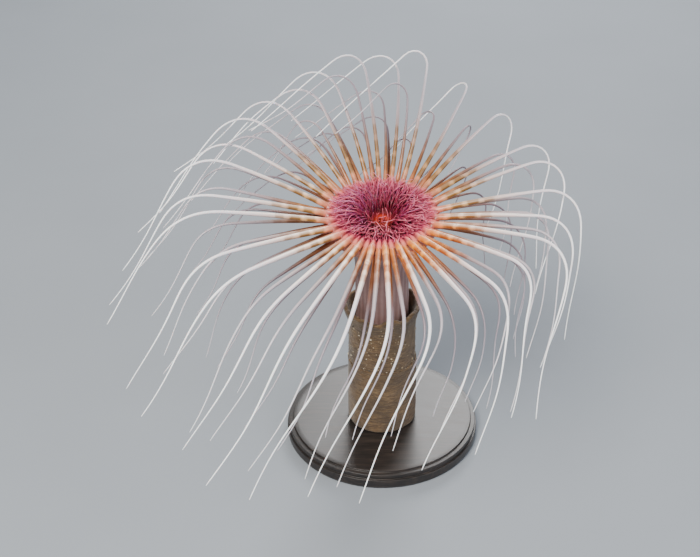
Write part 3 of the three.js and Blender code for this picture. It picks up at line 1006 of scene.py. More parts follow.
        # The relief fades out towards the crown.
        worn = math.sin(math.pi * min(1.0, ring.trunk + 0.5))
        relief = self.dent_height * dents + self.wrinkle_height * wrinkle
        radius = ring.radius * (1 + worn * self.ridge_height * ridge) + worn * relief
        tilt = math.radians(self.crown.tilt * float(smooth(ring.trunk)))
        forward = self.crown.point(0, 0, -self.under_crown)[1] * ring.trunk**2
        x, y = radius * np.cos(angles), radius * np.sin(angles)
        points = np.stack([x, y * math.cos(tilt) + forward, ring.height + y * math.sin(tilt)], axis=-1)
        return points, 0.5 + 0.5 * ridge

    def grow_body(self, shell: Shell, taken: set[tuple[int, int]], rings: list[Ring]) -> None:
        """Adds the body's surface, open where the tentacles grow.

        Args:
            shell: The mesh that is gathered.
            taken: The faces left open, as ring and column.
            rings: The body's rings.
        """
        columns = self.columns
        still = {"span": 0.0, "lot": 0.5, "warm": 0.0, "dim": 0.0, "core": 0.0}
        for ring in rings:
            points, crest = self.ring_points(ring)
            shell.add_points(points, crest=crest, zone=ring.zone, **still)
        floor = self.crown.point(0, 0, -self.floor_depth)
        foot = np.array([0.0, 0.0, self.column_foot])
        lengths = [0.0]
        for before, after in zip(rings, rings[1:]):
            same = (before.trunk is None) == (after.trunk is None)
            rise = after.height - before.height if same else self.map_joint
            lengths.append(lengths[-1] + math.hypot(after.radius - before.radius, rise))
        along = mix(*self.map_along, np.array(lengths) / lengths[-1])
        across = mix(*self.map_across, np.arange(columns + 1) / columns)
        faces, corners = [], []
        for row in range(len(rings) - 1):
            for column in range(columns):
                if (row, column) in taken:
                    continue
                here, there = row * columns + column, row * columns + (column + 1) % columns
                faces.append((here, here + columns, there + columns, there))
                u, v = along[row : row + 2], across[column : column + 2]
                corners.append(((u[0], v[0]), (u[1], v[0]), (u[1], v[1]), (u[0], v[1])))
        shell.add_faces(np.array(faces), np.array(corners), Wear.BODY)
        ends = ((floor, 0, (0, 1), -self.map_end), (foot, len(rings) - 1, (1, 0), self.map_end))
        for point, row, order, beyond in ends:
            pole = shell.add_points(point[None], crest=0.5, zone=rings[row].zone, **still)
            faces, corners = [], []
            for column in range(columns):
                faces.append((pole, *(row * columns + (column + step) % columns for step in order)))
                edge = [(along[row], across[column + step]) for step in order]
                corners.append(((along[row] + beyond, across[column]), *edge))
            shell.add_faces(np.array(faces), np.array(corners), Wear.BODY)

    def opening(self, first_row: int, rows: int, first: int, span: int) -> np.ndarray:
        """Goes round an opening.

        Args:
            first_row: Its first ring.
            rows: How many rows of faces it spans.
            first: Its first column.
            span: How many columns it spans.

        Returns:
            The numbers of its points, turning left seen from outside.
        """
        down = [(first_row + step, first) for step in range(rows)]
        right = [(first_row + rows, first + step) for step in range(span)]
        up = [(first_row + rows - step, first + span) for step in range(rows)]
        left = [(first_row, first + span - step) for step in range(span)]
        round_it = down + right + up + left
        return np.array([row * self.columns + column % self.columns for row, column in round_it])

    def sprout(self, shell: Shell, strand: Strand, patch: Patch, loop: np.ndarray, hole: np.ndarray) -> None:
        """Grows a tentacle out of its opening.

        Args:
            shell: The mesh that is gathered.
            strand: The tentacle.
            patch: The tentacle's place on the map.
            loop: The numbers of the opening's points.
            hole: The points themselves.
        """
        tube = strand.tube(self.crown, hole[0] - hole.mean(axis=0), len(loop))
        lifted = hole + strand.heading() * ROOT_RINGS[0] * strand.radii[0]
        tube.rings[0] = mix(lifted, tube.rings[0], self.root_easing)
        shell.add_tentacle(strand, tube, patch, loop)

    def build(self) -> Object:
        """Makes the skin.

        Returns:
            The closed mesh with its map, its traits and its face finishes.
        """
        rings, seats = self.body_rings()
        marginals, labials = self.marginals.strands(), self.labials.strands()
        taken = set()
        for strand in marginals + labials:
            name, column, span = strand.seat
            first, rows = seats[name]
            taken |= {
                (first + row, (column + step) % self.columns) for row in range(rows) for step in range(span)
            }
        shell = Shell()
        self.grow_body(shell, taken, rings)
        points = np.vstack(shell.points)
        shared = share_map(labials, *self.map_labials) + share_map(marginals, *self.map_marginals)
        for strand, patch in shared:
            name, column, span = strand.seat
            loop = self.opening(*seats[name], column, span)
            self.sprout(shell, strand, patch, loop, points[loop])
        return shell.build("anemone_skin")


@dataclass
class LabialTangle:
    """The finest labial tentacles, which stand between the skin's own, their roots sunk in the disc."""

    crown: Crown
    sides: int = 5
    map_part: tuple[int, float, float] = (9, 0.003, 0.997)
    tentacles: LabialTentacles = field(init=False)

    def __post_init__(self) -> None:
        """Lays out the rows."""
        self.tentacles = LabialTentacles(
            self.crown,
            radius=0.27,
            tip_radius=0.15,
            sunk=1.3,
            nod=9.0,
            weave=(0.25, 1.2),
            length_scatter=0.25,
            stray=22.0,
            rings=16,
            first_draw=400,
            rows=(
                LabialRow(96, 18.0, 0.7, 42, 0, 9.5, 25, 0.0, 0),
                LabialRow(84, 17.0, 0.4, 46, 2, 10.5, 35, 0.0, 45),
                LabialRow(64, 15.0, 0.2, 50, 0, 13.0, 50, 0.05, 20),
                LabialRow(56, 13.4, 0.7, 56, -4, 15.0, 75, 0.15, -10),
                LabialRow(36, 12.4, 0.6, 72, -20, 17.0, 120, 0.2, 10),
                LabialRow(48, 10.8, 0.3, 66, -4, 16.0, 80, 0.4, 0),
                LabialRow(36, 9.4, 0.3, 80, -20, 18.0, 130, 0.5, 20),
                LabialRow(40, 9.0, 0.8, 74, 4, 15.0, 110, 0.6, 50),
                LabialRow(44, 11.6, 0.5, 60, 20, 9.5, 70, 0.3, 20),
                LabialRow(38, 8.4, 0.4, 66, 36, 8.0, 90, 0.7, 10),
                LabialRow(36, 7.6, 0.1, 72, 20, 12.0, 150, 0.85, 45),
                LabialRow(32, 6.4, 0.6, 78, 50, 9.5, 170, 1.0, 20),
            ),
        )

    def build(self) -> Object:
        """Makes the tangle.

        Returns:
            One mesh of closed tentacles.
        """
        shell = Shell()
        for strand, patch in share_map(self.tentacles.strands(), *self.map_part):
            across = np.cross(strand.heading(), [0.0, 0.0, 1.0])
            shell.add_tentacle(strand, strand.tube(self.crown, across, self.sides), patch)
        return shell.build("labial_tangle")


# ---- Working in Blender ----


def rest_selection() -> None:
    """Leaves nothing selected."""
    bpy.ops.object.select_all(action="DESELECT")


def pick(made: Object) -> None:
    """Makes one object the only selected and the active one.

    Args:
        made: The object.
    """
    rest_selection()
    made.select_set(True)
    bpy.context.view_layer.objects.active = made


def settle(made: Object, name: str) -> Object:
    """Names a piece and moves its place into its mesh.

    Args:
        made: The piece.
        name: Its name.

    Returns:
        The piece, with its object at the origin.
    """
    made.name = name
    made.data.name = name
    pick(made)
    bpy.ops.object.transform_apply(location=True, rotation=True, scale=True)
    return made


def put(name: str, data: ID) -> Object:
    """Puts a new object in the scene.

    Args:
        name: Its name.
        data: Its mesh, lamp or camera.

    Returns:
        The object.
    """
    made = bpy.data.objects.new(name, data)
    bpy.context.scene.collection.objects.link(made)
    return made


def carry(mesh: Mesh, trait: str, values: list[np.ndarray]) -> None:
    """Gives a mesh's points a trait, from its values in the order of the points."""
    attribute = mesh.attributes.new(trait, "FLOAT", "POINT")
    attribute.data.foreach_set("value", np.concatenate(values).astype(np.float32))


def finish_modifier(made: Object, kind: str, **settings: object) -> None:
    """Adds a modifier and applies it.

    Args:
        made: The piece.
        kind: The modifier's type.
        **settings: Its settings.
    """
    modifier = made.modifiers.new(kind.title(), kind)
    for name, value in settings.items():
        setattr(modifier, name, value)
    pick(made)
    bpy.ops.object.modifier_apply(modifier=modifier.name)


def read_points(made: Object) -> np.ndarray:
    """Reads a mesh's points.

    Args:
        made: The piece.

    Returns:
        The points, one row each, in metres.
    """
    points = np.empty(len(made.data.vertices) * 3, dtype=np.float32)
    made.data.vertices.foreach_get("co", points)
    return points.reshape(-1, 3).astype(float)


def write_points(made: Object, points: np.ndarray) -> None:
    """Moves a mesh's points."""
    made.data.vertices.foreach_set("co", points.astype(np.float32).ravel())
    made.data.update()


def bumps(points: np.ndarray, relief: Relief, seed: float) -> np.ndarray:
    """Reads a fixed field of soft bumps.

    Args:
        points: Where it is read, in metres.
        relief: The bumps' height and size in millimetres, which field it is, and how much flatter they are.
        seed: What is added to tell one piece's fields from another's.

    Returns:
        The bumps' height at each point, in millimetres.
    """
    height, size, own_seed, flatter = relief
    shift = Vector((1, -1, 2)) * (own_seed + seed)
    flat = points * [1, 1, flatter]
    return height * np.array([noise.noise(Vector(point) / (size * MM) + shift) for point in flat])


# ---- Finishes ----


def linear(colour: str) -> tuple[float, float, float, float]:
    """Turns an sRGB hex colour into the linear one that shaders take."""
    parts = [int(colour[place : place + 2], 16) / 255 for place in (1, 3, 5)]
    return (*(part / 12.92 if part <= 0.04045 else ((part + 0.055) / 1.055) ** 2.4 for part in parts), 1.0)


def add_node(
    tree: NodeTree, kind: str, inputs: dict | None = None, stops: tuple = (), **settings: object
) -> Node:
    """Adds a node with its settings and links.

    Args:
        tree: The material's node tree.
        kind: The node's type, without its ShaderNode prefix.
        inputs: Values, hex colours or other nodes' outputs for its inputs, by name or number.
        stops: A colour ramp's places and hex colours.
        **settings: The node's other settings.

    Returns:
        The node.
    """
    made = tree.nodes.new("ShaderNode" + kind)
    for name, value in settings.items():
        setattr(made, name, value)
    for name, value in (inputs or {}).items():
        if isinstance(value, NodeSocket):
            tree.links.new(value, made.inputs[name])
        else:
            made.inputs[name].default_value = linear(value) if isinstance(value, str) else value
    for number, (place, colour) in enumerate(stops):
        stop = made.color_ramp.elements[number] if number < 2 else made.color_ramp.elements.new(place)
        stop.position = place
        stop.color = linear(colour)
    return made


def lay(tree: NodeTree, ground: NodeSocket, layers: tuple) -> NodeSocket:
    """Lays colours over a ground, one over the other.

    Args:
        tree: The material's node tree.
        ground: The colour underneath.
        layers: Each layer's colour and the outputs whose product says how far it covers.

    Returns:
        The output with the whole colour.
    """
    for colour, factors in layers:
        cover = factors[0]
        for factor in factors[1:]:
            cover = add_node(tree, "Math", {0: cover, 1: factor}, operation="MULTIPLY").outputs[0]
        ground = add_node(tree, "Mix", {0: cover, 6: ground, 7: colour}, data_type="RGBA").outputs[2]
    return ground


def grey(level: float) -> str:
    """Returns the hex colour that a ramp reads as a plain number, undoing the turn to linear."""
    part = level * 12.92 if level <= 0.0031308 else 1.055 * level ** (1 / 2.4) - 0.055
    return "#" + f"{round(part * 255):02x}" * 3


@dataclass(frozen=True)
class Finish:
    """What all the finishes share: a name and a roughness."""

    name: str
    roughness: float

    def start(self) -> tuple[Material, NodeTree, Node]:
        """Makes an empty material.

        Returns:
            The material, its tree and its shader.
        """
        material = bpy.data.materials.new(self.name)
        material.use_nodes = True
        tree = material.node_tree
        shader = tree.nodes["Principled BSDF"]
        shader.inputs["Roughness"].default_value = self.roughness
        return material, tree, shader


@dataclass(frozen=True)
class Flesh(Finish):
    """Flesh cast in soft satin silicone: light sinks in a little way, and its skin is faintly moist."""

    depth: float = 1.0
    grain: float = 0.5
    pore: float = 0.1
    sheen: float = 0.3
    coat: float = 0.15
    gloss: float = 0.5
    # The dark red of the furrows: painted shade between the tentacles' feet and under their roots, and the
    # lips' own streaks.
    crease: str = "#6a1c20"
    furrow_streak_and_shade: tuple = ((0.0, grey(1)), (1.0, grey(0)), (0.45, grey(0.7)))

    def flesh(self) -> tuple[Material, NodeTree, Node]:
        """Makes the material with what all the flesh shares.

        Returns:
            The material, its tree and its shader, with everything but the colour.
        """
        material, tree, shader = self.start()
        shared = {
            "Subsurface Weight": 0.2,
            "Subsurface Radius": (1.0, 0.5, 0.4),
            "Subsurface Scale": self.depth * MM,
            "Sheen Weight": self.sheen,
            "Sheen Roughness": 0.3,
            "Coat Weight": self.coat,
            "Specular IOR Level": self.gloss,
            "Coat Roughness": 0.2,
        }
        for name, value in shared.items():
            shader.inputs[name].default_value = value
        where = add_node(tree, "TexCoord").outputs["Object"]
        fine = {"Vector": where, "Scale": 1 / (self.grain * MM), "Detail": 2.0}
        pores = add_node(tree, "TexNoise", fine).outputs["Fac"]
        bump = add_node(tree, "Bump", {"Height": pores, "Strength": 0.15, "Distance": self.pore * MM})
        tree.links.new(bump.outputs["Normal"], shader.inputs["Normal"])
        return material, tree, shader


@dataclass(frozen=True)
class MarginalFlesh(Flesh):
    """The long tentacles in silicone: rosy feet, orange patches and brown bands, then lilac grey to white.

    The bands are some 4 mm long and 8 mm apart in the first 30 mm, and the flecks that patch them are 2 mm
    wide. Painted light lies over these colours: a highlight along the top of some, shade on the undersides,
    at the roots and over the inner cycles, and a dark core on the back ones.
    """

    length: float = 150.0
    banded: float = 30.0
    fleck: float = 2.2
    dot_pitch: float = 2.6
    dot_size: tuple[float, float] = (0.2, 0.3)
    # How strong the painted white highlight along a tentacle's top is, and what its core, its gold and its
    # lot add to that.
    most_highlit: float = 1.2
    highlit_weights: tuple[float, float, float] = (-2.0, -1.4, 0.8)
    # How much painted shade darkens a tentacle's underside.
    underside_shade: float = 0.25
    # The layers' own colours: tan feet at the back, orange and golden ones, the painted white highlight line,
    # the bands, their rusty flanks and the dots.
    tan: str = "#a08040"
    flame: str = "#f07c00"
    gold: str = "#e89220"
    highlight_white: str = "#fff6ee"
    band: str = "#724e1a"
    rust: str = "#b44c0c"
    dot: str = "#7c2420"
    # How ragged a band's edges are and how far it may stand from its neighbours', in millimetres, and how
    # far its edges are blurred, as a share of the banded part.
    band_rag: float = 4.0
    band_shift: float = 2.5
    band_edge: float = 0.05
    # Each band: where it starts in the banded part, its length and its strength.
    bands: tuple = ((0.08, 0.05, 0.4), (0.27, 0.12, 0.85), (0.53, 0.13, 0.9), (0.82, 0.1, 0.5))
    # Colours and strengths by the share of the length.
    ground: tuple = (
        (0.0, "#de7c70"), (1.0, "#ffffff"), (0.025, "#e0906e"), (0.055, "#dca66e"), (0.09, "#dcb07c"),
        (0.14, "#d4b094"), (0.2, "#d8c2bc"), (0.34, "#e6dee4"), (0.5, "#faf9fb"),
    )
    # The colour of the painted dark core and of the painted shade on undersides and dull tentacles.
    shade: tuple = ((0.0, "#a85c30"), (0.6, "#8c8492"), (0.1, "#7e4a2a"), (0.22, "#685864"))
    orange: tuple = ((0.0, grey(0.4)), (0.2, grey(0)), (0.02, grey(1)), (0.09, grey(1)), (0.14, grey(0.6)))
    tanned: tuple = ((0.02, grey(0.2)), (0.25, grey(0)), (0.06, grey(0.55)), (0.15, grey(0.45)))
    dotted: tuple = ((0.02, grey(0)), (0.18, grey(0)), (0.05, grey(0.85)), (0.11, grey(0.7)))
    core_shade: tuple = ((0.0, grey(0.1)), (0.6, grey(0)), (0.04, grey(0.4)), (0.12, grey(0.7)), (0.35, grey(0.8)))
    highlight_reach: tuple = ((0.02, grey(0)), (0.4, grey(0)), (0.06, grey(0.7)), (0.25, grey(0.8)))
    # How far the painted shade and the dullness reach along a tentacle.
    dulled: tuple = ((0.0, grey(0)), (0.95, grey(0.35)), (0.03, grey(1)), (0.4, grey(0.9)))
    root_shade: tuple = ((0.0, grey(0.9)), (0.009, grey(0)))
    # Strengths by how high on the tentacle's round a place lies, and by the flecks.
    flanks: tuple = ((0.65, grey(1)), (0.95, grey(0.4)))
    midline: tuple = ((0.65, grey(0)), (0.95, grey(1)))
    highlight: tuple = ((0.78, grey(0)), (0.97, grey(1)))
    clouds: tuple = ((0.36, grey(0.5)), (0.52, grey(1)))

    def make(self) -> Material:
        """Makes the material.

        Returns:
            The material, which follows each tentacle by the traits that the skin's points carry.
        """
        material, tree, shader = self.flesh()
        where = add_node(tree, "TexCoord").outputs["Object"]
        span, crest, lot, warm, dim, core = (
            add_node(tree, "Attribute", attribute_name=name).outputs["Fac"]
            for name in ("span", "crest", "lot", "warm", "dim", "core")
        )
        share = add_node(tree, "Math", {0: span, 1: self.length}, operation="DIVIDE").outputs[0]
        spotted = {"Vector": where, "Scale": 1 / (self.fleck * MM), "Detail": 3.0}
        flecks = add_node(tree, "TexNoise", spotted).outputs["Fac"]
        # The bands stand a little differently on every tentacle, with ragged edges.
        place = -self.band_rag / 2
        for value, weight in ((flecks, self.band_rag), (lot, self.band_shift), (span, 1.0)):
            summed = {0: value, 1: weight, 2: place}
            place = add_node(tree, "Math", summed, operation="MULTIPLY_ADD").outputs[0]
        place = add_node(tree, "Math", {0: place, 1: self.banded}, operation="DIVIDE").outputs[0]
        bands: list[tuple[float, str]] = [(0.0, grey(0)), (1.0, grey(0))]
        for start, width, strength in self.bands:
            bands += [(start - self.band_edge, grey(0)), (start, grey(strength))]
            bands += [(start + width, grey(strength)), (start + width + self.band_edge, grey(0))]
        banded = add_node(tree, "ValToRGB", {"Fac": place}, stops=tuple(bands)).outputs["Color"]
        # How strong each layer is along the tentacle, over it and in its patches.
        along = ("ground", "shade", "root_shade", "orange", "tanned", "dotted", "core_shade", "highlight_reach", "dulled")
        over = ("furrow_streak_and_shade", "flanks", "midline", "highlight")
        shown = {
            name: add_node(tree, "ValToRGB", {"Fac": value}, stops=getattr(self, name)).outputs["Color"]
            for value, names in ((share, along), (crest, over), (flecks, ("clouds",)))
            for name in names
        }
        cells = add_node(tree, "TexVoronoi", {"Vector": where, "Scale": 1 / (self.dot_pitch * MM)})
        near = {"Value": cells.outputs["Distance"]}
        near |= {"From Min": self.dot_size[0], "From Max": self.dot_size[1], "To Min": 1, "To Max": 0}
        dots = add_node(tree, "MapRange", near).outputs["Result"]
        golden = add_node(tree, "Math", {0: warm, 1: warm}, operation="MULTIPLY").outputs[0]
        # A painted white highlight runs along the top of the tentacles that have no painted dark core and
        # aren't golden or dull.
        highlit = self.most_highlit
        for value, weight in zip((core, golden, lot), self.highlit_weights):
            summed = {0: value, 1: weight, 2: highlit}
            highlit = add_node(tree, "Math", summed, operation="MULTIPLY_ADD").outputs[0]
        highlit = add_node(tree, "Math", {0: highlit, 1: dim}, operation="SUBTRACT", use_clamp=True).outputs[0]
        # Painted shade: the underside is darkened, and dim adds the inner cycles' dullness, partly their own
        # colour and partly shade under the upper cycle.
        lower = {0: crest, 1: -self.underside_shade, 2: self.underside_shade}
        under = add_node(tree, "Math", lower, operation="MULTIPLY_ADD").outputs[0]
        dull_and_shade = add_node(tree, "Math", {0: dim, 1: under}, operation="ADD", use_clamp=True).outputs[0]
        layers = (
            (self.tan, (core, shown["tanned"])),
            (self.flame, (warm, shown["orange"], shown["clouds"], shown["flanks"])),
            (self.gold, (golden, shown["orange"], shown["clouds"])),
            # Painted highlight along the top of the tentacle.
            (self.highlight_white, (highlit, shown["highlight"], shown["highlight_reach"])),
            # Painted dark core, standing in for the shade seen through a see-through tentacle.
            (shown["shade"], (core, shown["midline"], shown["core_shade"])),
            (self.band, (banded, shown["flanks"])),
            (self.band, (banded, core)),
            (self.rust, (banded, shown["flanks"], warm)),
            (self.dot, (dots, shown["dotted"], warm)),
            # Painted shade on undersides and inner cycles, mixed with their own duller colour.
            (shown["shade"], (dull_and_shade, shown["dulled"])),
            # Painted shade in the crease under the tentacle's root.
            (self.crease, (shown["furrow_streak_and_shade"], shown["root_shade"])),
        )
        tree.links.new(lay(tree, shown["ground"], layers), shader.inputs["Base Color"])
        return material


@dataclass(frozen=True)
class LabialFlesh(Flesh):
    """The fine tentacles in silicone: dark crimson roots, pink tips, and orange next to the mouth.

    Each list of stops runs from the root to the tip, and scattered is how much neighbours differ.
    """

    length: float = 14.0
    scattered: float = 0.4
    pink: tuple = ((0.0, "#480610"), (1.0, "#d4687e"), (0.3, "#700e26"), (0.6, "#86183a"), (0.85, "#a83456"))
    violet: tuple = (
        (0.0, "#480824"), (1.0, "#bc6090"), (0.3, "#6c103e"), (0.6, "#821e56"), (0.85, "#98386e"),
    )
    fire: tuple = ((0.0, "#8c1404"), (1.0, "#d86c80"), (0.15, "#dc4004"), (0.35, "#d44c1c"), (0.6, "#c4484c"))
    rose: tuple = ((0.0, "#7c1c38"), (1.0, "#e88490"), (0.5, "#ac3a58"), (0.8, "#cc5870"))
    # How far each covers the pink: violet by the lot, rose by the nearness to the mouth, fire by the glow.
    cooled: tuple = ((0.7, grey(0)), (1.0, grey(0.9)))
    outermost: tuple = ((0.0, grey(0.9)), (0.2, grey(0)))
    heated: tuple = ((0.25, grey(0)), (0.55, grey(1)))

    def make(self) -> Material:
        """Makes the material.

        Returns:
            The material, which follows each tentacle by the traits that its points carry.
        """
        material, tree, shader = self.flesh()
        span, lot, warm, dim, core = (
            add_node(tree, "Attribute", attribute_name=name).outputs["Fac"]
            for name in ("span", "lot", "warm", "dim", "core")
        )
        share = add_node(tree, "Math", {0: span, 1: self.length}, operation="DIVIDE").outputs[0]
        mixed = {0: dim, 1: self.scattered, 2: lot}
        cool = add_node(tree, "Math", mixed, operation="MULTIPLY_ADD").outputs[0]
        uneven = {0: lot, 1: self.scattered, 2: -self.scattered / 2}
        heat = add_node(tree, "Math", uneven, operation="MULTIPLY_ADD").outputs[0]
        heat = add_node(tree, "Math", {0: core, 1: heat}, operation="ADD").outputs[0]
        ground, violet, fire, rose, cooled, outermost, heated = (
            add_node(tree, "ValToRGB", {"Fac": value}, stops=stops).outputs["Color"]
            for value, stops in (
                (share, self.pink),
                (share, self.violet),
                (share, self.fire),
                (share, self.rose),
                (cool, self.cooled),
                (warm, self.outermost),
                (heat, self.heated),
            )
        )
        layers = ((violet, (cooled,)), (rose, (outermost,)), (fire, (heated,)))
        tree.links.new(lay(tree, ground, layers), shader.inputs["Base Color"])
        return material


@dataclass(frozen=True)
class BodyFlesh(Flesh):
    """Disc, rim and column in silicone: red lips, maroon disc, rosy rim and a mauve-brown ridged column.

    The colours follow the zones from the gullet's floor to the foot, blurred by patches 3 mm wide, and the
    column has blotches 9 mm wide.
    """

    patch: float = 3.0
    patch_blur: float = 0.3
    blotch: float = 9.0
    blotch_brown: str = "#5e4440"
    pale_line: str = "#b09490"
    ground: tuple = (
        (0.0, "#1c0206"), (1.0, "#6d5650"), (0.07, "#4a0a08"), (0.13, "#b02c08"), (0.19, "#7c160c"),
        (0.26, "#540a18"), (0.37, "#641026"), (0.43, "#8c2044"), (0.5, "#b83c60"), (0.56, "#cc5068"),
        (0.6, "#da6c6e"), (0.63, "#de7c70"), (0.68, "#b87460"), (0.75, "#a67a70"), (0.85, "#8a6a66"),
    )
    # Where the painted furrow shade and the lips' streaks, the pale lines and the blotches show.
    streak_and_shade_reach: tuple = (
        (0.1, grey(0.8)), (0.7, grey(0)), (0.22, grey(0.5)), (0.5, grey(0.9)), (0.63, grey(0.9)),
    )
    lined: tuple = ((0.76, grey(0)), (0.86, grey(0.4)))
    blotched: tuple = ((0.45, grey(0)), (0.7, grey(0.9)))

    def make(self) -> Material:
        """Makes the material.

        Returns:
            The material, which follows the body by the zone that its points carry.
        """
        material, tree, shader = self.flesh()
        where = add_node(tree, "TexCoord").outputs["Object"]
        zone = add_node(tree, "Attribute", attribute_name="zone").outputs["Fac"]
        crest = add_node(tree, "Attribute", attribute_name="crest").outputs["Fac"]
        patches, blotches = (
            add_node(tree, "TexNoise", {"Vector": where, "Scale": scale, "Detail": 4.0}).outputs["Fac"]
            for scale in (1 / (self.patch * MM), 1 / (self.blotch * MM))
        )
        blurred = {0: patches, 1: self.patch_blur, 2: -self.patch_blur / 2}
        moved = add_node(tree, "Math", blurred, operation="MULTIPLY_ADD").outputs[0]
        moved = add_node(tree, "Math", {0: moved, 1: zone}, operation="ADD").outputs[0]
        share = add_node(tree, "Math", {0: moved, 1: Zone.END}, operation="DIVIDE").outputs[0]
        # Dark red is painted as shade into the furrows between the tentacles' feet and down the wall's top,
        # the same lines streak the lips, and fine pale lines run down the column.
        ground, furrow, rim, trunk, stained = (
            add_node(tree, "ValToRGB", {"Fac": value}, stops=stops).outputs["Color"]
            for value, stops in (
                (share, self.ground),
                (crest, self.furrow_streak_and_shade),
                (share, self.streak_and_shade_reach),
                (share, self.lined),
                (blotches, self.blotched),
            )
        )
        layers = (
            # Painted shade in the furrows between the feet, and the lips' own streaks.
            (self.crease, (furrow, rim)),
            (self.pale_line, (crest, trunk)),
            (self.blotch_brown, (stained, trunk)),
        )
        tree.links.new(lay(tree, ground, layers), shader.inputs["Base Color"])
        return material


@dataclass(frozen=True)
class ParchmentFelt(Finish):
    """The animal's tube: a brown felt of threads and silt, matte, fibrous and stained.

    The fibres are under half a millimetre thick and some 4 mm long, and the stains are 14 mm wide.
    """

    fibre: float = 2.0
    lie: tuple[float, float, float] = (0.5, 0.5, 5.0)
    stain: float = 14.0
    silt: str = "#382c1f"
    browns: tuple = ((0.3, "#2c2016"), (0.72, "#967c56"), (0.5, "#604930"))
    stained: tuple = ((0.42, grey(0)), (0.62, grey(0.55)))

    def make(self) -> Material:
        """Makes the material.

        Returns:
            The material, whose fibres lie round the tube.
        """
        material, tree, shader = self.start()
        where = add_node(tree, "TexCoord").outputs["Object"]
        # The fibres lie round the tube, so the pattern is drawn out flat.
        flat = add_node(tree, "Mapping", {"Vector": where, "Scale": self.lie}).outputs["Vector"]
        woven = {"Vector": flat, "Scale": 1 / (self.fibre * MM), "Detail": 6.0, "Roughness": 0.7}
        fibres = add_node(tree, "TexNoise", woven).outputs["Fac"]
        soaked = {"Vector": where, "Scale": 1 / (self.stain * MM), "Detail": 3.0}
        stains = add_node(tree, "TexNoise", soaked).outputs["Fac"]
        ground, stained = (
            add_node(tree, "ValToRGB", {"Fac": value}, stops=stops).outputs["Color"]
            for value, stops in ((fibres, self.browns), (stains, self.stained))
        )
        ground = lay(tree, ground, ((self.silt, (stained,)),))
        tree.links.new(ground, shader.inputs["Base Color"])
        bump = add_node(tree, "Bump", {"Height": fibres, "Strength": 0.7, "Distance": 0.5 * MM})
        tree.links.new(bump.outputs["Normal"], shader.inputs["Normal"])
        shader.inputs["Sheen Weight"].default_value = 0.2
        return material


@dataclass(frozen=True)
class ShellSand(Finish):
    """Sea sand felted into the tube: quartz, dark rock and bits of shell, each grain its own colour."""

    grains: tuple = (
        (0.0, "#3d3832"), (1.0, "#d9cfbb"), (0.25, "#6f5f4b"), (0.5, "#94856d"), (0.7, "#a99878"),
        (0.88, "#c4b598"),
    )

    def make(self) -> Material:
        """Makes the material.

        Returns:
            The material, coloured by the lot that each grain carries.
        """
        material, tree, shader = self.start()
        lot = add_node(tree, "Attribute", attribute_name="lot").outputs["Fac"]
        ground = add_node(tree, "ValToRGB", {"Fac": lot}, stops=self.grains).outputs["Color"]
        tree.links.new(ground, shader.inputs["Base Color"])
        return material


@dataclass(frozen=True)
class EbonisedWood(Finish):
    """Turned hardwood stained black and waxed: the grain still shows, and the edges shine softly.

    The grain is about a millimetre fine across the board and drawn out to 15 mm along it.
    """

    pore: float = 1.1
    board: tuple[float, float, float] = (0.07, 1.0, 1.0)
    blacks: tuple = ((0.3, "#141211"), (0.75, "#3a302a"), (0.5, "#211c1a"))
    rougher: float = 0.2

    def make(self) -> Material:
        """Makes the material.

        Returns:
            The material, its board's grain running along X.
        """
        material, tree, shader = self.start()
        where = add_node(tree, "TexCoord").outputs["Object"]
        board = add_node(tree, "Mapping", {"Vector": where, "Scale": self.board}).outputs["Vector"]
        drawn = {"Vector": board, "Scale": 1 / (self.pore * MM), "Detail": 5.0, "Distortion": 0.4}
        grain = add_node(tree, "TexNoise", drawn).outputs["Fac"]
        ground = add_node(tree, "ValToRGB", {"Fac": grain}, stops=self.blacks).outputs["Color"]
        tree.links.new(ground, shader.inputs["Base Color"])
        worn = {"Value": grain, "To Min": self.roughness, "To Max": self.roughness + self.rougher}
        rough = add_node(tree, "MapRange", worn).outputs["Result"]
        tree.links.new(rough, shader.inputs["Roughness"])
        bump = add_node(tree, "Bump", {"Height": grain, "Strength": 0.25, "Distance": 0.15 * MM})
        tree.links.new(bump.outputs["Normal"], shader.inputs["Normal"])
        shader.inputs["Coat Weight"].default_value = 0.25
        shader.inputs["Coat Roughness"].default_value = 0.3
        return material


@dataclass(frozen=True)
class StudioPaper(Finish):
    """The studio's paper floor: pale blue grey and dead matte."""

    mottle: float = 110.0
    greys: tuple = ((0.3, "#888e95"), (0.7, "#8b9198"))

    def make(self) -> Material:
        """Makes the material.

        Returns:
            The material, faintly mottled.
        """
        material, tree, shader = self.start()
        where = add_node(tree, "TexCoord").outputs["Object"]
        clouded = {"Vector": where, "Scale": 1 / (self.mottle * MM), "Detail": 2.0}
        mottle = add_node(tree, "TexNoise", clouded).outputs["Fac"]
        faint = add_node(tree, "ValToRGB", {"Fac": mottle}, stops=self.greys)
        tree.links.new(faint.outputs["Color"], shader.inputs["Base Color"])
        shader.inputs["Specular IOR Level"].default_value = 0.2
        return material


# ---- The tube and the base ----


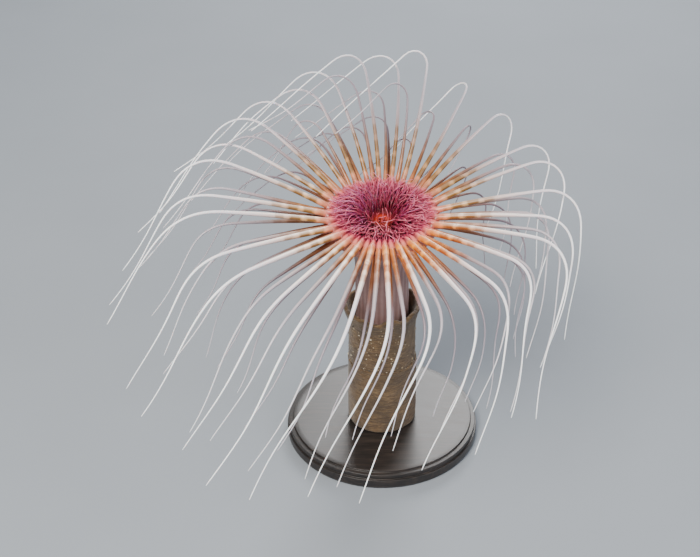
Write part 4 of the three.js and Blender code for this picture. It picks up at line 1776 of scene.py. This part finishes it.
@dataclass
class FeltTube:
    """A short length of the animal's own tube, its mouth flared and torn, with sand felted into it."""

    middle_radius: float = 16.5
    wall: float = 2.3
    bottom: float = 10.4
    top: float = 85.0
    flare: float = 3.0
    flare_length: float = 16.0
    flare_power: float = 1.4
    sides: int = 132
    courses: int = 44
    grains: int = 1500
    grain_radius: tuple[float, float] = (0.22, 0.75)
    grain_heights: tuple[float, float] = (1.0, 5.0)
    grain_stretch: tuple[float, float] = (0.7, 1.3)
    grain_lumps: float = 0.18
    # Which of its fixed draws a grain takes, and where its lumps' begin.
    grain_draws: range = range(1, 11)
    lump_draw: int = 20
    grain_sunk: float = 0.25
    # How much the grains crowd at the tube's foot, how many more small ones there are, and how far out each
    # starts on its way to the wall.
    grain_crowding: float = 1.3
    grain_rarity: int = 3
    grain_start: float = 30.0
    # Fields of bumps: the torn edge's waves and rips, the folds down and round, and the fuzz.
    waves: Relief = (2.4, 9.0, 0.0, 1)
    rips: Relief = (2.0, 2.6, 3.0, 1)
    long_folds: Relief = (0.5, 7.0, 7.0, 0.25)
    round_folds: Relief = (0.35, 6.0, 11.0, 3.0)
    fuzz: Relief = (0.16, 1.6, 17.0, 2.2)
    torn_radius: float = 20.0
    torn_least: float = 1.6
    torn_power: float = 6.0
    old_radius: float = 18.0
    old_top: float = 52.0
    old_wall: float = 0.7
    old_seed: float = 40.0
    felt: ParchmentFelt = ParchmentFelt("tube_felt", 0.95)
    sand: ShellSand = ShellSand("tube_sand", 0.8)

    def leaf(self, name: str, radius: float, top: float, wall: float, seed: float) -> Object:
        """Makes one leaf of the tube's wall.

        Args:
            name: The piece's name.
            radius: The wall's middle radius.
            top: Its highest height.
            wall: Its thickness.
            seed: What tells its bumps from another leaf's.

        Returns:
            The leaf, closed and wrinkled, with a torn upper edge.
        """
        rest_selection()
        bpy.ops.mesh.primitive_cylinder_add(
            vertices=self.sides,
            radius=radius * MM,
            depth=(top - self.bottom) * MM,
            end_fill_type="NOTHING",
            location=(0, 0, (top + self.bottom) / 2 * MM),
        )
        made = settle(bpy.context.object, name)
        bpy.ops.object.mode_set(mode="EDIT")
        courses = round(self.courses * (top - self.bottom) / (self.top - self.bottom))
        for number in range(1, courses):
            height = mix(self.bottom, top, number / courses)
            bpy.ops.mesh.select_all(action="SELECT")
            bpy.ops.mesh.bisect(plane_co=(0, 0, height * MM), plane_no=(0, 0, 1))
        bpy.ops.object.mode_set(mode="OBJECT")
        points = read_points(made)
        angle = np.arctan2(points[:, 1], points[:, 0])
        share = (points[:, 2] / MM - self.bottom) / (top - self.bottom)
        # The edge is torn: long waves and short rips lower it, more the nearer a point is to the top.
        rim = np.stack([np.cos(angle), np.sin(angle), np.zeros(len(angle))], axis=-1)
        rim *= self.torn_radius * MM
        torn = self.torn_least + bumps(rim, self.waves, seed) + np.abs(bumps(rim, self.rips, seed))
        points[:, 2] -= torn * share**self.torn_power * MM
        height = points[:, 2] / MM
        opened = smooth((height - (self.top - self.flare_length)) / self.flare_length)
        opening = self.flare * opened**self.flare_power
        folds = bumps(points, self.long_folds, seed) + bumps(points, self.round_folds, seed)
        outwards = points[:, :2] / np.linalg.norm(points[:, :2], axis=1)[:, None]
        points[:, :2] = outwards * (radius + opening + folds)[:, None] * MM
        write_points(made, points)
        finish_modifier(made, "SOLIDIFY", thickness=wall * MM, offset=0.0, use_even_offset=True)
        finish_modifier(made, "SUBSURF", levels=1, render_levels=1)
        points = read_points(made)
        normals = np.empty(len(points) * 3, dtype=np.float32)
        made.data.vertices.foreach_get("normal", normals)
        fuzz = bumps(points, self.fuzz, seed)
        write_points(made, points + normals.reshape(-1, 3) * fuzz[:, None] * MM)
        bpy.ops.object.shade_smooth()
        return made

    def sand_grains(self, wall: Object) -> Object:
        """Makes the sand grains that stick out of the tube's wall.

        Args:
            wall: The leaf they sit in.

        Returns:
            All the grains as one mesh, each carrying its own lot.
        """
        rest_selection()
        bpy.ops.mesh.primitive_ico_sphere_add(subdivisions=1, radius=1.0)
        pattern = bpy.context.object
        shape = read_points(pattern)
        faces = np.array([tuple(face.vertices) for face in pattern.data.polygons])
        bpy.data.objects.remove(pattern)
        points, links, lots = [], [], []
        for number in range(self.grains):
            draws = (chance(number, draw) for draw in self.grain_draws)
            bearing, level, size, *drawn, turned, east, north, lot = draws
            angle = 2 * math.pi * bearing
            low, high = self.grain_heights
            height = mix(self.bottom + low, self.top - high, level**self.grain_crowding)
            out = Vector((math.cos(angle), math.sin(angle), 0))
            start = out * self.grain_start * MM + Vector((0, 0, height * MM))
            hit, spot, _, _ = wall.ray_cast(start, -out)
            if not hit:
                continue
            radius = mix(*self.grain_radius, size**self.grain_rarity)
            stretch = np.array([mix(*self.grain_stretch, share) for share in drawn])
            axis = (2 * east - 1, 2 * north - 1, 1.0)
            turn = Matrix.Rotation(2 * math.pi * turned, 3, axis)
            uneven = np.array([scatter(number, self.lump_draw + corner) for corner in range(len(shape))])
            lumps = 1 + self.grain_lumps * uneven
            grain = (shape * lumps[:, None] * stretch) @ np.array(turn) * radius * MM
            links.append(faces + len(points) * len(shape))
            points.append(grain + np.array(spot - out * self.grain_sunk * radius * MM))
            lots.append(np.full(len(shape), lot))
        mesh = bpy.data.meshes.new("tube_sand")
        mesh.from_pydata(np.vstack(points).tolist(), [], np.vstack(links).tolist())
        carry(mesh, "lot", lots)
        return put("tube_sand", mesh)

    def build(self) -> list[Object]:
        """Makes the tube.

        Returns:
            The wall, an older torn leaf round its foot, and the sand.
        """
        wall = self.leaf("tube_wall", self.middle_radius, self.top, self.wall, 0.0)
        old_leaf = self.leaf("tube_old_leaf", self.old_radius, self.old_top, self.old_wall, self.old_seed)
        sand = self.sand_grains(wall)
        felt = self.felt.make()
        for piece in (wall, old_leaf):
            piece.data.materials.append(felt)
        sand.data.materials.append(self.sand.make())
        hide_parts("tube_lower", "tube_upper")
        return [wall, old_leaf, sand]


@dataclass
class TurnedBase:
    """The round display base, turned with a foot band, a bead and a shallow table."""

    radius: float = 52.0
    height: float = 10.0
    sides: int = 160
    bevel: float = 0.45
    # The least angle that is bevelled and that stays crisp, and the least slope of a face that looks up.
    bevel_angle: float = 35.0
    crisp_angle: float = 40.0
    upward: float = 0.9
    foot_inset: float = 0.8
    foot_height: float = 0.6
    table_insets: tuple[float, float] = (3.0, 12.0)
    # Each turned step above the foot: how far its edge comes in, and how far it then rises.
    steps: tuple = (
        (-0.8, 0.8), (0.0, 4.2), (1.3, 0.0), (0.0, 0.9), (-0.5, 0.0), (0.0, 2.1), (2.4, 0.0), (0.0, 1.0),
    )
    finish: EbonisedWood = EbonisedWood("ebonised_wood", 0.38)

    def build(self) -> list[Object]:
        """Makes the base.

        Returns:
            The one piece.
        """
        rest_selection()
        bpy.ops.mesh.primitive_cylinder_add(
            vertices=self.sides,
            radius=(self.radius - self.foot_inset) * MM,
            depth=self.foot_height * MM,
            location=(0, 0, self.foot_height / 2 * MM),
        )
        made = settle(bpy.context.object, "stand_base_turned")
        bpy.ops.object.mode_set(mode="EDIT")
        bpy.ops.mesh.select_mode(type="FACE")
        bpy.ops.mesh.select_all(action="DESELECT")
        bpy.ops.object.mode_set(mode="OBJECT")
        for face in made.data.polygons:
            face.select = face.normal.z > self.upward
        bpy.ops.object.mode_set(mode="EDIT")
        radius = self.radius - self.foot_inset
        for inwards, upwards in self.steps:
            bpy.ops.mesh.extrude_region_move(TRANSFORM_OT_translate={"value": (0, 0, upwards * MM)})
            size = (radius - inwards) / radius
            bpy.ops.transform.resize(value=(size, size, 1))
            radius -= inwards
        for inset in self.table_insets:
            bpy.ops.mesh.inset(thickness=inset * MM)
        bpy.ops.object.mode_set(mode="OBJECT")
        bevel = {"width": self.bevel * MM, "segments": 3, "limit_method": "ANGLE"}
        finish_modifier(made, "BEVEL", angle_limit=math.radians(self.bevel_angle), **bevel)
        bpy.ops.object.shade_smooth_by_angle(angle=math.radians(self.crisp_angle))
        made.data.materials.append(self.finish.make())
        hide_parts("stand_base")
        return [made]


@dataclass
class Anemone:
    """The animal itself."""

    crown: Crown = field(default_factory=Crown)
    body: BodyFlesh = BodyFlesh("body_flesh", 0.5, sheen=0.05, coat=0.03, gloss=0.2)
    marginal: MarginalFlesh = MarginalFlesh("marginal_flesh", 0.4)
    labial: LabialFlesh = LabialFlesh("labial_flesh", 0.45, depth=0.5, sheen=0.12, coat=0.1)

    def replaced(self) -> list[str]:
        """Lists the nodes of flesh that the skin stands for.

        Returns:
            Their names.
        """
        trunk = ["column_foot", "column_middle", "column_upper", "column_crown"]
        disc = ["oral_disc", "mouth", "labial_tentacles"]
        sectors = range(MarginalTentacles.sectors)
        return trunk + disc + [f"marginal_tentacles_{number + 1:02d}" for number in sectors]

    def build(self) -> list[Object]:
        """Makes the animal.

        Returns:
            The skin.
        """
        skin = Skin(self.crown, MarginalTentacles(self.crown), LabialTentacles(self.crown)).build()
        tangle = LabialTangle(self.crown).build()
        finishes = [finish.make() for finish in (self.body, self.marginal, self.labial)]
        for piece in (skin, tangle):
            for finish in finishes:
                piece.data.materials.append(finish)
        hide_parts(*self.replaced())
        return [skin, tangle]


# ---- The studio ----


@dataclass
class Studio:
    """A paper floor, soft lamps and the camera."""

    crown: Crown
    elevation: float = 30.0
    distance: float = 700.0
    lens: float = 72.0
    sensor: float = 36.0
    frame_width: int = 700
    frame_height: int = 557
    disc_at: tuple[float, float] = (382.0, 212.0)
    floor_size: float = 16.0
    room_colour: str = "#e6e9ee"
    room_light: float = 0.35
    paper: StudioPaper = StudioPaper("studio_paper", 0.95)
    # Each lamp: its name, where it stands and what it faces in metres, its size, power and colour.
    lamps: tuple = (
        ("key", (-0.35, -0.75, 1.05), (0, 0, 0.13), 0.5, 30.0, "#fffaf2"),
        ("fill", (0.95, -0.5, 0.6), (0, 0, 0.12), 0.8, 7.5, "#f2f6ff"),
        ("back", (0.15, 0.95, 0.75), (0, 0, 0.14), 0.6, 13.0, "#ffffff"),
    )

    def floor(self) -> None:
        """Lays the paper floor."""
        rest_selection()
        bpy.ops.mesh.primitive_plane_add(size=self.floor_size)
        made = settle(bpy.context.object, "studio_floor")
        made.data.materials.append(self.paper.make())

    def light(self) -> None:
        """Hangs the lamps and lights the room evenly."""
        for name, place, aim, size, power, colour in self.lamps:
            lamp = bpy.data.lights.new(name, "AREA")
            lamp.shape = "DISK"
            lamp.size = size
            lamp.energy = power
            lamp.color = linear(colour)[:3]
            made = put(name, lamp)
            made.location = place
            made.rotation_euler = (Vector(aim) - Vector(place)).to_track_quat("-Z", "Y").to_euler()
        world = bpy.data.worlds.new("room")
        world.use_nodes = True
        room = world.node_tree.nodes["Background"]
        room.inputs["Color"].default_value = linear(self.room_colour)
        room.inputs["Strength"].default_value = self.room_light
        bpy.context.scene.world = world

    def camera(self) -> None:
        """Sets the camera so that the disc's middle falls at its place in the frame."""
        slope = math.radians(self.elevation)
        disc = Vector(self.crown.point(0, 0, 0)) * MM
        back = Vector((0, -math.cos(slope), math.sin(slope)))
        focal = self.lens / self.sensor * self.frame_width
        aside = (self.disc_at[0] - self.frame_width / 2) / focal
        above = (self.frame_height / 2 - self.disc_at[1]) / focal
        lens = bpy.data.cameras.new("camera")
        lens.lens = self.lens
        lens.sensor_width = self.sensor
        made = put("camera", lens)
        made.location = disc + back * self.distance * MM
        # First the view straight at the disc, then turned until the disc stands where it should.
        straight = (-back).to_track_quat("-Z", "Y").to_matrix()
        turn = Matrix.Rotation(math.atan(aside), 3, "Y") @ Matrix.Rotation(-math.atan(above), 3, "X")
        made.rotation_euler = (straight @ turn).to_euler()
        bpy.context.scene.camera = made

    def build(self) -> None:
        """Sets up the studio."""
        self.floor()
        self.light()
        self.camera()


def main() -> None:
    """Builds the studio and the pieces, hangs them under the root, and logs each piece's triangles."""
    logging.basicConfig(level=logging.INFO, format="%(name)s: %(message)s")
    crown = Crown()
    Studio(crown).build()
    for part in (TurnedBase(), FeltTube(), Anemone(crown)):
        for piece in part.build():
            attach(piece, "root")
            triangles = sum(len(face.vertices) - 2 for face in piece.data.polygons)
            LOG.info("%s: %d triangles", piece.name, triangles)


if __name__ == "__main__":
    main()
